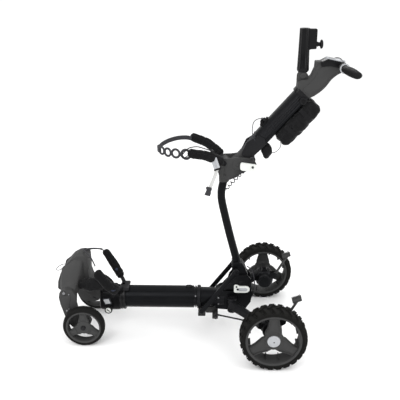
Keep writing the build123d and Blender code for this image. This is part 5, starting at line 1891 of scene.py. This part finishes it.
@dataclass
class Handle:
    """The wide shaft with its boot, the neck with the console, the grips and the pouch."""

    pivot: tuple[float, float] = (-152.0, 801.0)
    angle: float = 48.5
    start: float = 140.0
    length: float = 251.0
    depth: float = 64.0
    width: float = 58.0

    @property
    def along(self) -> Vector:
        """The shaft's direction."""
        a = math.radians(self.angle)
        return Vector((math.cos(a), 0, math.sin(a)))

    @property
    def below(self) -> Vector:
        """The direction across the shaft, down to the rear."""
        a = math.radians(self.angle)
        return Vector((math.sin(a), 0, -math.cos(a)))

    def on(self, along: float, below: float = 0.0, y: float = 0.0) -> Vector:
        """A place at a distance from the pivot, so far below the shaft's middle."""
        return Vector((self.pivot[0], y, self.pivot[1])) + self.along * along + self.below * below

    def bar(self, form: Form, a0: float, a1: float, depth: float, width: float, corner: float,
            ease: float = 0.0) -> None:
        """A bar with round corners along the shaft.

        Args:
            form: Takes the bar.
            a0: Its start.
            a1: Its end.
            depth: Its size down across the shaft.
            width: Its size along Y.
            corner: Radius of its corners.
            ease: How far its ends are rounded.
        """
        steps = [(a0, 1.0), (a1, 1.0)]
        if ease:
            steps = [(a0, 1 - 2 * ease / depth), (a0 + ease, 1.0), (a1 - ease, 1.0),
                     (a1, 1 - 2 * ease / depth)]
        rings = []
        for a, s in steps:
            c = self.on(a)
            rings.append(
                [c + self.below * v * s + Vector((0, u * s, 0)) for u,
                 v in rounded_rect(width, depth, corner, 5)]
            )
        form.loft(rings)

    def build(self) -> None:
        """Makes the handle's pieces."""
        self._shaft()
        self._boot()
        self._neck()
        self._console()
        for name, side in (("left", -1), ("right", 1)):
            self._grip(name, side)
        self._pouch()
        self._clips()

    def _shaft(self) -> None:
        """The extrusion with long grooves, its round bead, and the cap at its top."""
        half_w = self.width / 2
        groove_pitch, groove_depth, groove_start = 4.5, 1.5, -18
        grooved = []
        for way in (1, -1):
            for k in range(9):
                v = (groove_start + groove_pitch * k) * way
                deep = 0.0 if k % 2 == 0 else groove_depth
                grooved.append((way * (half_w - deep), v))
        corners = rounded_rect(self.width, self.depth, 13, 6)
        right = [p for p in corners if p[1] > 18.5]
        left = [p for p in corners if p[1] < -18.5]
        outline = right + [(u, v) for u, v in grooved if u < 0] + left + [(u, v) for u, v in grooved if u > 0]
        end = self.start + self.length
        rings = [[self.on(a) + Vector((0, u, 0)) + self.below * v for u, v in outline] for a in (self.start,
                                                                                                 end)]
        form = Form().loft(rings)
        for way in (1, -1):
            form.tube([self.on(self.start - 2, 20.5, way * 21.5), self.on(end - 12, 20.5, way * 21.5)], 10.5,
                      20,
                      dome=True)
            form.tube([self.on(self.start + 2, -24, way * 24), self.on(end - 6, -24, way * 24)], 6.0, 14,
                      dome=True)
        form.piece("shaft_extrusion", "handle", ALLOY, "shaft_profile", angle=30)
        top = Form()
        self.bar(top, end - 12, end + 7, self.depth + 4, self.width + 4, 12, 2.0)
        centre = self.on(end - 17, 17)
        for way in (1, -1):
            top.lathe([(6, 30), (15, 30), (16.5, 32), (16.5, 35), (15, 37), (9, 37.4), (7.5, 35.4),
                       (0, 35.4)], centre,
                      (0, way, 0), 40)
        block = [self.on(end - 14, -37), self.on(end + 12, -37), self.on(end + 14, -22),
                 self.on(end - 12, -24)]
        top.prism(eased([(p.x, p.z) for p in block], 4, 3), -24, 24, 2.5, 3)
        top.piece("shaft_cap", "handle", GLOSS, angle=40)

    def _boot(self) -> None:
        """The hinge barrel, the ribbed boot and the wrinkled sleeve that covers the shaft's foot."""
        form = Form().lathe([(0, -30.6), (25, -30.6), (28, -28), (28, 28), (25, 30.6), (0, 30.6)],
                            (self.pivot[0], 0, self.pivot[1]), steps=48)
        self.bar(form, 4, self.start - 4, self.depth - 12, 54, 9)
        form.piece("hinge_barrel", "handle", MOULDED, "shaft_boot")
        rings = []
        count = 46
        for i in range(count):
            t = i / (count - 1)
            a = 58 + (self.start + 6 - 58) * t
            fold = math.sin(t * math.pi * 15) * (1.5 - 0.4 * t)
            depth, width = 54 + 12 * t + 2 * fold, 54 + 5 * t + 2 * fold
            c = self.on(a)
            ring = []
            for j, (u, v) in enumerate(rounded_rect(width, depth, 14, 6)):
                p = c + self.below * v + Vector((0, u, 0))
                wave = noise.noise(p * 0.055) * 2.2 + noise.noise(p * 0.16) * 1.1
                ring.append(p + self.along * wave)
            rings.append(ring)
        Form().loft(rings).piece("wrinkled_boot", "handle", RUBBER, angle=70)
        plate = [self.on(96, -36), self.on(150, -20), self.on(158, 10), self.on(140, 30), self.on(70, 26),
                 self.on(40, 2), self.on(46, -20)]
        side = Form()
        for way in (1, -1):
            side.prism(eased([(p.x, p.z) for p in plate], 10, 3), way * 29.6, way * 32.4, 1.0, 2)
        side.piece("boot_plates", "handle", POWDER)

    def _neck(self) -> None:
        """The curved neck with the umbrella ears and the cross bar."""
        end = self.start + self.length
        u, low = self.on(end, -self.depth / 2), self.on(end, self.depth / 2)
        neck = [(u.x, u.z), (84, 1146), (96, 1153), (122, 1155), (138, 1168), (148, 1192), (158, 1213),
                (176, 1224),
                (196, 1230), (225, 1225), (250, 1218), (272, 1204), (266, 1190), (238, 1176), (214, 1156),
                (192, 1126),
                (low.x + 10, low.z + 14), (low.x, low.z)]
        form = Form().prism(eased(neck, 10, 3), -27, 27, 8.0, 4)
        gx, gy, gz = 256.0, 74.0, 1206.0
        form.lathe([(0, -gy), (13, -gy), (15, -gy + 2), (15, -30), (19, -26), (19, 26), (15, 30),
                    (15, gy - 2),
                    (13, gy), (0, gy)], (gx, 0, gz), steps=36)
        for side in (1, -1):
            core = Form(side).tube(smooth([(gx, gy - 2, gz), (262, 140, 1205), (280, 196, 1198)], 6), 11.6,
                                   16)
            form.take(core.bm)
            ear = eased([(82, 1140), (83, 1172), (93, 1185), (115, 1185), (125, 1172), (126, 1140)], 8, 4)
            form.prism(ear, side * 10.2, side * 16, 1.6, 2)
        form.lathe([(0, -19.6), (6, -19.6), (7.4, -18.2), (7.4, -16), (5, -16), (5, 16), (7.4, 16),
                    (7.4, 18.2),
                    (6, 19.6), (0, 19.6)], (104, 0, 1170), steps=24)
        form.prism(eased([(150, 1190), (180, 1196), (178, 1227), (152, 1226)], 3, 3), -24, 24, 2.0, 2)
        panel = [(104, 1118), (128, 1138), (152, 1166), (168, 1198), (196, 1214), (238, 1204), (252, 1196),
                 (230, 1183),
                 (204, 1161), (182, 1132), (146, 1102), (126, 1094)]
        edge = smooth([(140, 0, 1088), (166, 0, 1104), (192, 0, 1128), (214, 0, 1158), (238, 0, 1178),
                       (262, 0, 1190)], 5)
        for way in (1, -1):
            form.prism(eased(panel, 8, 3), way * 26.5, way * 28.6, 1.0, 2)
            form.tube([(p.x, way * 25.0, p.z) for p in edge], 4.2, 12, dome=True)
            form.lathe([(0, 16), (11, 16), (12, 17), (12, 20), (10.5, 21.6), (6, 22), (5.4, 21), (0, 21)],
                       (104, 0, 1170), (0, way, 0), 32)
        nub = self.on(end + 28, self.depth / 2 + 2)
        form.lathe([(0, 9), (4.4, 8.6), (6, 7), (6, -6), (0, -6)], nub, self.below, 20)
        form.piece("neck_shell", "handle", MOULDED, "handle_neck", angle=40)

    def _console(self) -> None:
        """The console pod with its pale top, display window and speed key."""
        pod = [(168, 1222), (196, 1237), (252, 1225), (277, 1208), (269, 1196), (206, 1210), (172, 1206)]
        Form().prism(eased(pod, 8, 3), -32, 32, 4.0, 3).piece("console_pod", "handle", GLOSS, angle=40)
        top = [(190, 1234), (197, 1241.4), (252, 1229.0), (256, 1222.6), (198, 1232.0)]
        Form().prism(eased(top, 1.5, 2), -24, 24, 0.8, 2).piece("console_plate", "handle", GREY)
        glass = [(201, 1240.2), (228, 1234.2), (228, 1235.4), (201, 1241.6)]
        Form().prism(glass, -17, 17, 0.3, 1).piece("display_glass", "handle", SCREEN, "console_screen")
        tilt = math.radians(18.4)
        axis = (math.sin(tilt), 0, math.cos(tilt))
        seat = Vector((258, 0, 1205))
        key = [(0, 24.8), (5, 24.6), (6.8, 23.4), (7, 22), (7, 4), (0, 4)]
        Form().lathe(key, seat, axis, 28).piece("speed_key", "speed_button", GREY, "speed_button")

    def _grip(self, name: str, side: int) -> None:
        """A flat-oval grip with a pale ring at its root.

        Args:
            name: Left or right.
            side: -1 for the left, 1 for the right.
        """
        line = smooth([(257, 90, 1206), (262, 132, 1205.5), (272, 172, 1202), (284, 206, 1197)], 8)

        def size(t: float) -> tuple[float, float]:
            """How full the grip is, with a taper at its tip, a share of the way along it."""
            taper = 1 if t < 0.95 else 1 - 5.0 * (t - 0.95)
            bulge = math.sin(math.pi * min(1, t * 0.95 + 0.05))
            return ((0.80 + 0.28 * bulge) * taper, (0.84 + 0.22 * bulge) * taper)

        form = Form(side).sweep(line, oval(30, 42, 26), up=(0, 0, 1), scale=size)
        grip = form.object(f"hand_grip_{name}")
        finer = grip.modifiers.new("finer", "SUBSURF")
        finer.levels = finer.render_levels = 1
        plain(grip)
        dress(grip, "handle", GRIP, f"grip_{name}", angle=50)
        ring = [(15.2, 77), (19.2, 77), (20, 77.8), (20, 79.4), (19.2, 80.2), (15.2, 80.2)]
        Form(side).lathe(ring, (256.4, 0, 1206), (0, 1, 0), 40, closed=True).piece(
            f"grip_ring_{name}", "handle", GREY
        )

    def _pouch(self) -> None:
        """The crumpled pouch below the shaft, with its seams and straps."""
        a0, a1, depth, width = 190.0, 400.0, 58.0, 108.0
        mid = self.depth / 2 + 33.0
        rings = []
        rows = ((0.0, 0.62, 0.7), (0.015, 0.86, 0.9), (0.05, 0.97, 0.98), (0.2, 1.03, 1.0), (0.4, 1.05, 1.0),
                (0.6, 1.0, 1.02), (0.8, 0.97, 1.0), (0.95, 0.93, 0.97), (0.985, 0.8, 0.88), (1.0, 0.58, 0.66))
        for t, sd, sw in rows:
            c = self.on(a0 + (a1 - a0) * t, mid + 3 * math.sin(math.pi * t))
            section = rounded_rect(width * sw, depth * sd, 13 * min(sd, sw), 5)
            rings.append([c + self.below * v + Vector((0, u, 0)) for u, v in section])
        pouch = Form().loft(rings).object("cloth_pouch")
        Stuffing(voxel=5.0, cap=6.0, pressure=2.0, wrinkle=4.2, seed=5.0).settle(pouch)
        seams = []
        for t in (0.3, 0.72):
            seam = []
            a = a0 + (a1 - a0) * t
            for u, v in rounded_rect(width + 4, depth + 4, 19, 6):
                p = self.on(a, mid + v, u)
                seam.append(Layout.at(*p))
            pinch(pouch.data, seam, 13.0, 4.0)
            seams.append([tuple(p) for p in back(seam)])
        for u in (-width / 2 - 2, width / 2 + 2):
            seam = [Layout.at(*self.on(a0 + (a1 - a0) * k / 20, mid - 10 + 4 * math.sin(k),
                                       u)) for k in range(21)]
            pinch(pouch.data, seam, 9.0, 3.0)
        dress(pouch, "handle", NYLON, "pouch", angle=60)
        for i, t in enumerate((0.3, 0.72)):
            a = a0 + (a1 - a0) * t
            loop = [self.on(a, mid + v, u) for u, v in rounded_rect(width + 1.5, depth + 2.5, 18, 6)]
            loop = loop + loop[:1]
            rings = []
            for p in loop[:-1]:
                out = (p - self.on(a, mid)).normalized()
                rings.append([p + self.along * 9 + out * 0.9, p + self.along * 9 - out * 0.9,
                              p - self.along * 9 - out * 0.9, p - self.along * 9 + out * 0.9])
            Form().loft(rings, closed=True).piece(f"pouch_strap_{i + 1}", "handle", PADDING, angle=50)

    def _clips(self) -> None:
        """The small clips on the shaft's front edge, and the cloth lump below its foot."""
        form = Form()
        spots = ((188, -39, 0.4), (197, -44, 1.2), (206, -38, 2.2), (214, -43, 0.1), (223, -38, 1.7),
                 (206, -47, 0.9))
        for i, (a, b, turn) in enumerate(spots):
            c = self.on(a, b, -12 + 6 * (i % 3))
            size = 6.0 + (i % 2) * 1.6
            outline = []
            for k in range(8):
                ang = turn + k * math.pi / 4
                r = size * (1.0 + 0.22 * math.cos(3 * ang))
                outline.append((c.x + r * math.cos(ang), c.z + r * math.sin(ang)))
            form.prism(outline, c.y - 5, c.y + 7, 1.4, 2)
        base = [self.on(182, -31), self.on(230, -31), self.on(227, -37), self.on(186, -37)]
        form.prism(eased([(p.x, p.z) for p in base], 2, 2), -17, 14, 1.2, 2)
        form.piece("clip_bundle", "handle", GLOSS)
        centre = self.on(122, 52, -8)
        rings = []
        for t in range(9):
            s = t / 8
            r = math.sin(math.pi * (0.08 + 0.86 * s)) ** 0.7
            c = centre + Vector((4 * s, 0, 30 - 66 * s))
            rings.append([c + Vector((u * r, v * r, 0)) for u, v in oval(46, 42, 18)])
        lump = Form().loft(rings).object("cloth_bundle")
        Stuffing(voxel=4.0, cap=4.0, pressure=2.0, wrinkle=2.4, seed=9.0).settle(lump)
        dress(lump, "handle", NYLON, angle=60)


@dataclass
class UmbrellaHolder:
    """The tilting umbrella socket with its clamp block and thumb screw."""

    x: float = 104.0
    low: float = 1184.0
    top: float = 1353.0

    def build(self) -> None:
        """Makes the socket and the screw."""
        form = Form()
        outer, inner = [], []
        for z, r in ((self.low + 3, 22.8), (self.low + 6, 24), (self.low + 16, 24.2), (self.low + 18, 23.6),
                     (1270, 22.0), (self.top - 6, 20.4), (self.top - 1, 20.2), (self.top, 19.2)):
            ring = []
            for k in range(64):
                a = 2 * math.pi * k / 64
                groove = 1.0 if k % 16 in (3, 4) else 0.0
                ring.append((self.x + (r - groove) * math.cos(a), (r - groove) * math.sin(a), z))
            outer.append(ring)
        for z, r in ((self.top, 14.2), (self.top - 1.4, 13), (self.top - 150, 13)):
            inner.append([(self.x + r * math.cos(2 * math.pi * k / 64), r * math.sin(2 * math.pi * k / 64), z)
                          for k in range(64)])
        form.loft(outer + inner)
        reach = self.x + 48
        block = [(self.x + 14, self.top - 2), (reach - 3, self.top - 2), (reach, self.top - 6), (reach, 1276),
                 (reach - 3, 1273), (self.x + 26, 1272), (self.x + 14, 1268)]
        form.prism(eased(block, 4, 3), -12, 12, 2.6, 3)
        form.prism(eased([(self.x - 13, 1166), (self.x - 16, 1192), (self.x + 16, 1192),
                          (self.x + 13, 1166)], 5, 3),
                   -9.2, 9.2, 2.0, 2)
        form.lathe([(5.1, -9.4), (10.6, -9.4), (12, -8), (12, 8), (10.6, 9.4), (5.1, 9.4)], (self.x, 0, 1170),
                   steps=36, closed=True)
        form.lathe([(0, 1180), (15, 1180), (20, 1183), (20, 1189), (0, 1189)], (self.x, 0, 0), (0, 0, 1), 40)
        form.piece("umbrella_tube", "umbrella_socket", GLOSS, "umbrella_socket", angle=30)
        knob = [(0, -37), (4, -37), (4, 1.6), (9.4, 2.2), (10, 4.4), (8.2, 8.0), (7.8, 12.0), (9.6, 14.6),
                (15.0, 15.6),
                (17.6, 17.6), (18, 20.4), (16.4, 23.6), (11.0, 26.0), (0, 27)]
        Form().lathe(knob, (reach, 0, 1291), (1, 0, 0), 28).piece(
            "thumb_screw", "umbrella_screw", GLOSS, "umbrella_screw", angle=50
        )


# ------------------------------------------------------------------ cables


@dataclass
class Cables:
    """The motor cable, the curly cable, the elastic cord and the two thin draw cords."""

    motor: Sequence[Point] = (
        (-98, 0, 312), (-86, 0, 304), (-74, 0, 286), (-66, 0, 258), (-62, 0, 226), (-62, 0, 194),
        (-66, 0, 168),
        (-74, 0, 156),
    )
    coil: Sequence[Point] = (
        (-84, -51, 846), (-94, -52, 822), (-112, -52, 796), (-134, -52, 770), (-160, -49, 742),
        (-184, -43, 716),
        (-198, -34, 690),
    )
    elastic: Sequence[Point] = (
        (-769, -90, 350), (-790, -52, 371), (-818, -22, 383), (-842, 0, 386), (-818, 22, 383),
        (-790, 52, 371),
        (-769, 90, 350),
    )

    def build(self) -> None:
        """Makes every cord."""
        self._elastic()
        self._motor()
        self._coil()
        self._thin("second_elastic", "frame", RUBBER, 2.4, [
            (-838, 8, 374), (-816, 34, 374), (-794, 62, 364), (-775, 88, 350), (-762, 106, 334),
        ])
        self._thin("crown_loop", "frame", RUBBER, 1.6, [
            (-914, -8, 320), (-932, -11, 320), (-949, -13, 311), (-962, -13, 299), (-963, -10, 288),
            (-952, -7, 286),
            (-938, -4, 294), (-924, -2, 304), (-910, 0, 312),
        ])
        self._thin("draw_cord_front", "handle", DIM, 1.5, [
            (-38, -14, 990), (-58, -20, 996), (-78, -27, 994), (-91, -32, 981), (-94, -35, 960),
            (-94, -35, 938),
            (-88, -34, 916), (-76, -29, 896),
        ])
        self._thin("draw_cord_rear", "handle", DIM, 1.5, [
            (22, -20, 910), (27, -26, 896), (26, -30, 880), (16, -30, 864), (2, -26, 852), (-12, -22, 850),
            (-28, -18, 860), (-40, -16, 870),
        ])

    def _elastic(self) -> None:
        """The elastic cord over the crown."""
        route = Route(self.elastic)
        line = route.line()
        cord = route.curve("elastic_cord", 3.0)
        dress(cord, "frame", RUBBER, "lower_bungee")

    def _thin(
        self, name: str, body: str, finish: Finish, radius: float, points: Sequence[Point]
    ) -> None:
        """A thin cord whose two ends go into the trolley.

        Args:
            name: The cord's name.
            body: The body that it moves with.
            finish: Its finish.
            radius: Its radius in millimetres.
            points: Its control points.
        """
        route = Route(points)
        line = route.line()
        cord = route.curve(name, radius)
        dress(cord, body, finish)

    def _motor(self) -> None:
        """The cable that loops behind the post's foot."""
        line = Route(self.motor).line()
        cable = Form().tube(back(line), 2.5, 12).object("motor_lead")
        coat(cable, RUBBER, 60)
        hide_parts("motor_cable")
        Layout.at(-80, 0, 296)
        Layout.at(-66, 0, 176)
        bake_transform(cable)

    def _coil(self) -> None:
        """The curly cable across the handle's hinge."""
        line = back(Route(self.coil).line())
        dense = smooth(line, 4)
        total = length_of(dense)
        turns = 10
        helix = []
        gone = 0.0
        frames = frames_along(dense, Vector((0, 1, 0)))
        marks = []
        for i, p in enumerate(dense):
            gone += (p - dense[i - 1]).length if i else 0.0
            marks.append(gone / total)
        steps = turns * 14
        for k in range(steps + 1):
            t = k / steps
            i = min(range(len(marks)), key=lambda j: abs(marks[j] - t))
            j = min(i + 1, len(dense) - 1) if marks[i] <= t else max(i - 1, 0)
            lo, hi = min(i, j), max(i, j)
            span = marks[hi] - marks[lo]
            share = (t - marks[lo]) / span if span > 1e-9 else 0.0
            p = dense[lo].lerp(dense[hi], min(1, max(0, share)))
            n, b = frames[i]
            ease = min(1.0, t * 14, (1 - t) * 14)
            a = 2 * math.pi * turns * t
            helix.append(p + (n * math.cos(a) + b * math.sin(a)) * 6.2 * ease)
        cable = Form().tube(helix, 2.1, 8).object("curly_lead")
        coat(cable, RUBBER, 60)
        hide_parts("coil_cable")
        path = [Layout.at(*p) for p in helix]
        Layout.at(*self.coil[1])
        Layout.at(*self.coil[4])
        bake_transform(cable)


# ------------------------------------------------------------------ set


@dataclass
class Studio:
    """The floor, the lights and the camera."""

    lens: float = 55.97
    place: tuple[float, float, float] = (-244.686, -2532.063, 1572.940)
    yaw: float = -1.482
    pitch: float = 20.430
    roll: float = -0.122

    def build(self) -> None:
        """Makes the set."""
        self._camera()
        self._floor()
        self._lights()

    def _camera(self) -> None:
        """The camera."""
        data = bpy.data.cameras.new("camera")
        data.lens = self.lens
        data.sensor_width = 36.0
        camera = bpy.data.objects.new("camera", data)
        bpy.context.scene.collection.objects.link(camera)
        yaw, pitch, roll = (math.radians(a) for a in (self.yaw, self.pitch, self.roll))
        ahead = Vector((math.sin(yaw) * math.cos(pitch), math.cos(yaw) * math.cos(pitch), -math.sin(pitch)))
        right = Vector((math.cos(yaw), -math.sin(yaw), 0))
        up = right.cross(ahead)
        across = right * math.cos(roll) + up * math.sin(roll)
        over = up * math.cos(roll) - right * math.sin(roll)
        turn = Matrix((across, over, -ahead)).transposed().to_4x4()
        camera.matrix_world = Matrix.Translation(Layout.at(*self.place)) @ turn
        bpy.context.scene.camera = camera

    def _floor(self) -> None:
        """A wide pale floor."""
        mesh = bpy.data.meshes.new("floor")
        size = 120.0
        mesh.from_pydata([(-size, -size, 0), (size, -size, 0), (size, size, 0), (-size, size, 0)], [],
                         [(0, 1, 2, 3)])
        floor = bpy.data.objects.new("floor", mesh)
        bpy.context.scene.collection.objects.link(floor)
        pale = bpy.data.materials.new("pale_floor")
        pale.use_nodes = True
        shader = pale.node_tree.nodes["Principled BSDF"]
        shader.inputs["Base Color"].default_value = (0.93, 0.93, 0.93, 1)
        shader.inputs["Roughness"].default_value = 0.9
        shader.inputs["Specular IOR Level"].default_value = 0.1
        mesh.materials.append(pale)

    def _lights(self) -> None:
        """Soft boxes round the trolley and an even white surround."""
        world = bpy.data.worlds.new("surround")
        bpy.context.scene.world = world
        world.use_nodes = True
        world.node_tree.nodes["Background"].inputs[0].default_value = (1, 1, 1, 1)
        world.node_tree.nodes["Background"].inputs[1].default_value = 0.42
        sun = bpy.data.lights.new("overhead", "SUN")
        sun.energy = 2.35
        sun.angle = math.radians(130)
        lamp = bpy.data.objects.new("overhead", sun)
        bpy.context.scene.collection.objects.link(lamp)
        lamp.matrix_world = Matrix.Rotation(math.radians(14), 4, "X")
        for name, place, size, power in (
            ("key", (-1.0, -2.4, 2.6), 1.4, 30.0), ("side", (2.4, -0.9, 1.7), 1.0, 18.0),
            ("rear", (0.8, 2.4, 2.4), 1.6, 22.0), ("front", (-2.6, -0.4, 1.4), 1.0, 14.0),
        ):
            data = bpy.data.lights.new(name, "AREA")
            data.shape = "SQUARE"
            data.size = size
            data.energy = power
            lamp = bpy.data.objects.new(name, data)
            bpy.context.scene.collection.objects.link(lamp)
            aim = Vector((0, 0, 0.6)) - Vector(place)
            lamp.matrix_world = Matrix.Translation(place) @ aim.to_track_quat("-Z", "Y").to_matrix().to_4x4()
        bpy.context.scene.view_settings.view_transform = "Standard"


def coat_nodes(frame: dict) -> None:
    """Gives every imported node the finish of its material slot.

    Args:
        frame: What the frame holds.
    """
    slots = {part["node"]: part["material_slot"] for part in frame["record"]["subparts"]}
    for name, node in frame["nodes"].items():
        finish = BY_SLOT[slots[name]]
        node.data.materials.clear()
        node.data.materials.append(finish.material())


def main() -> None:
    """Builds the trolley's look in order."""
    logging.basicConfig(level=logging.INFO, format="%(name)s: %(message)s")
    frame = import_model()
    Layout.measure()
    Studio().build()
    coat_nodes(frame)
    Cables().build()
    for name, side in (("left", -1), ("right", 1)):
        RearWheel(name, side).build()
        FrontWheel(name, side).build()
    Chassis().build()
    RearEnd().build()
    Post().build()
    Cradles().build()
    Handle().build()
    UmbrellaHolder().build()


if __name__ == "__main__":
    main()
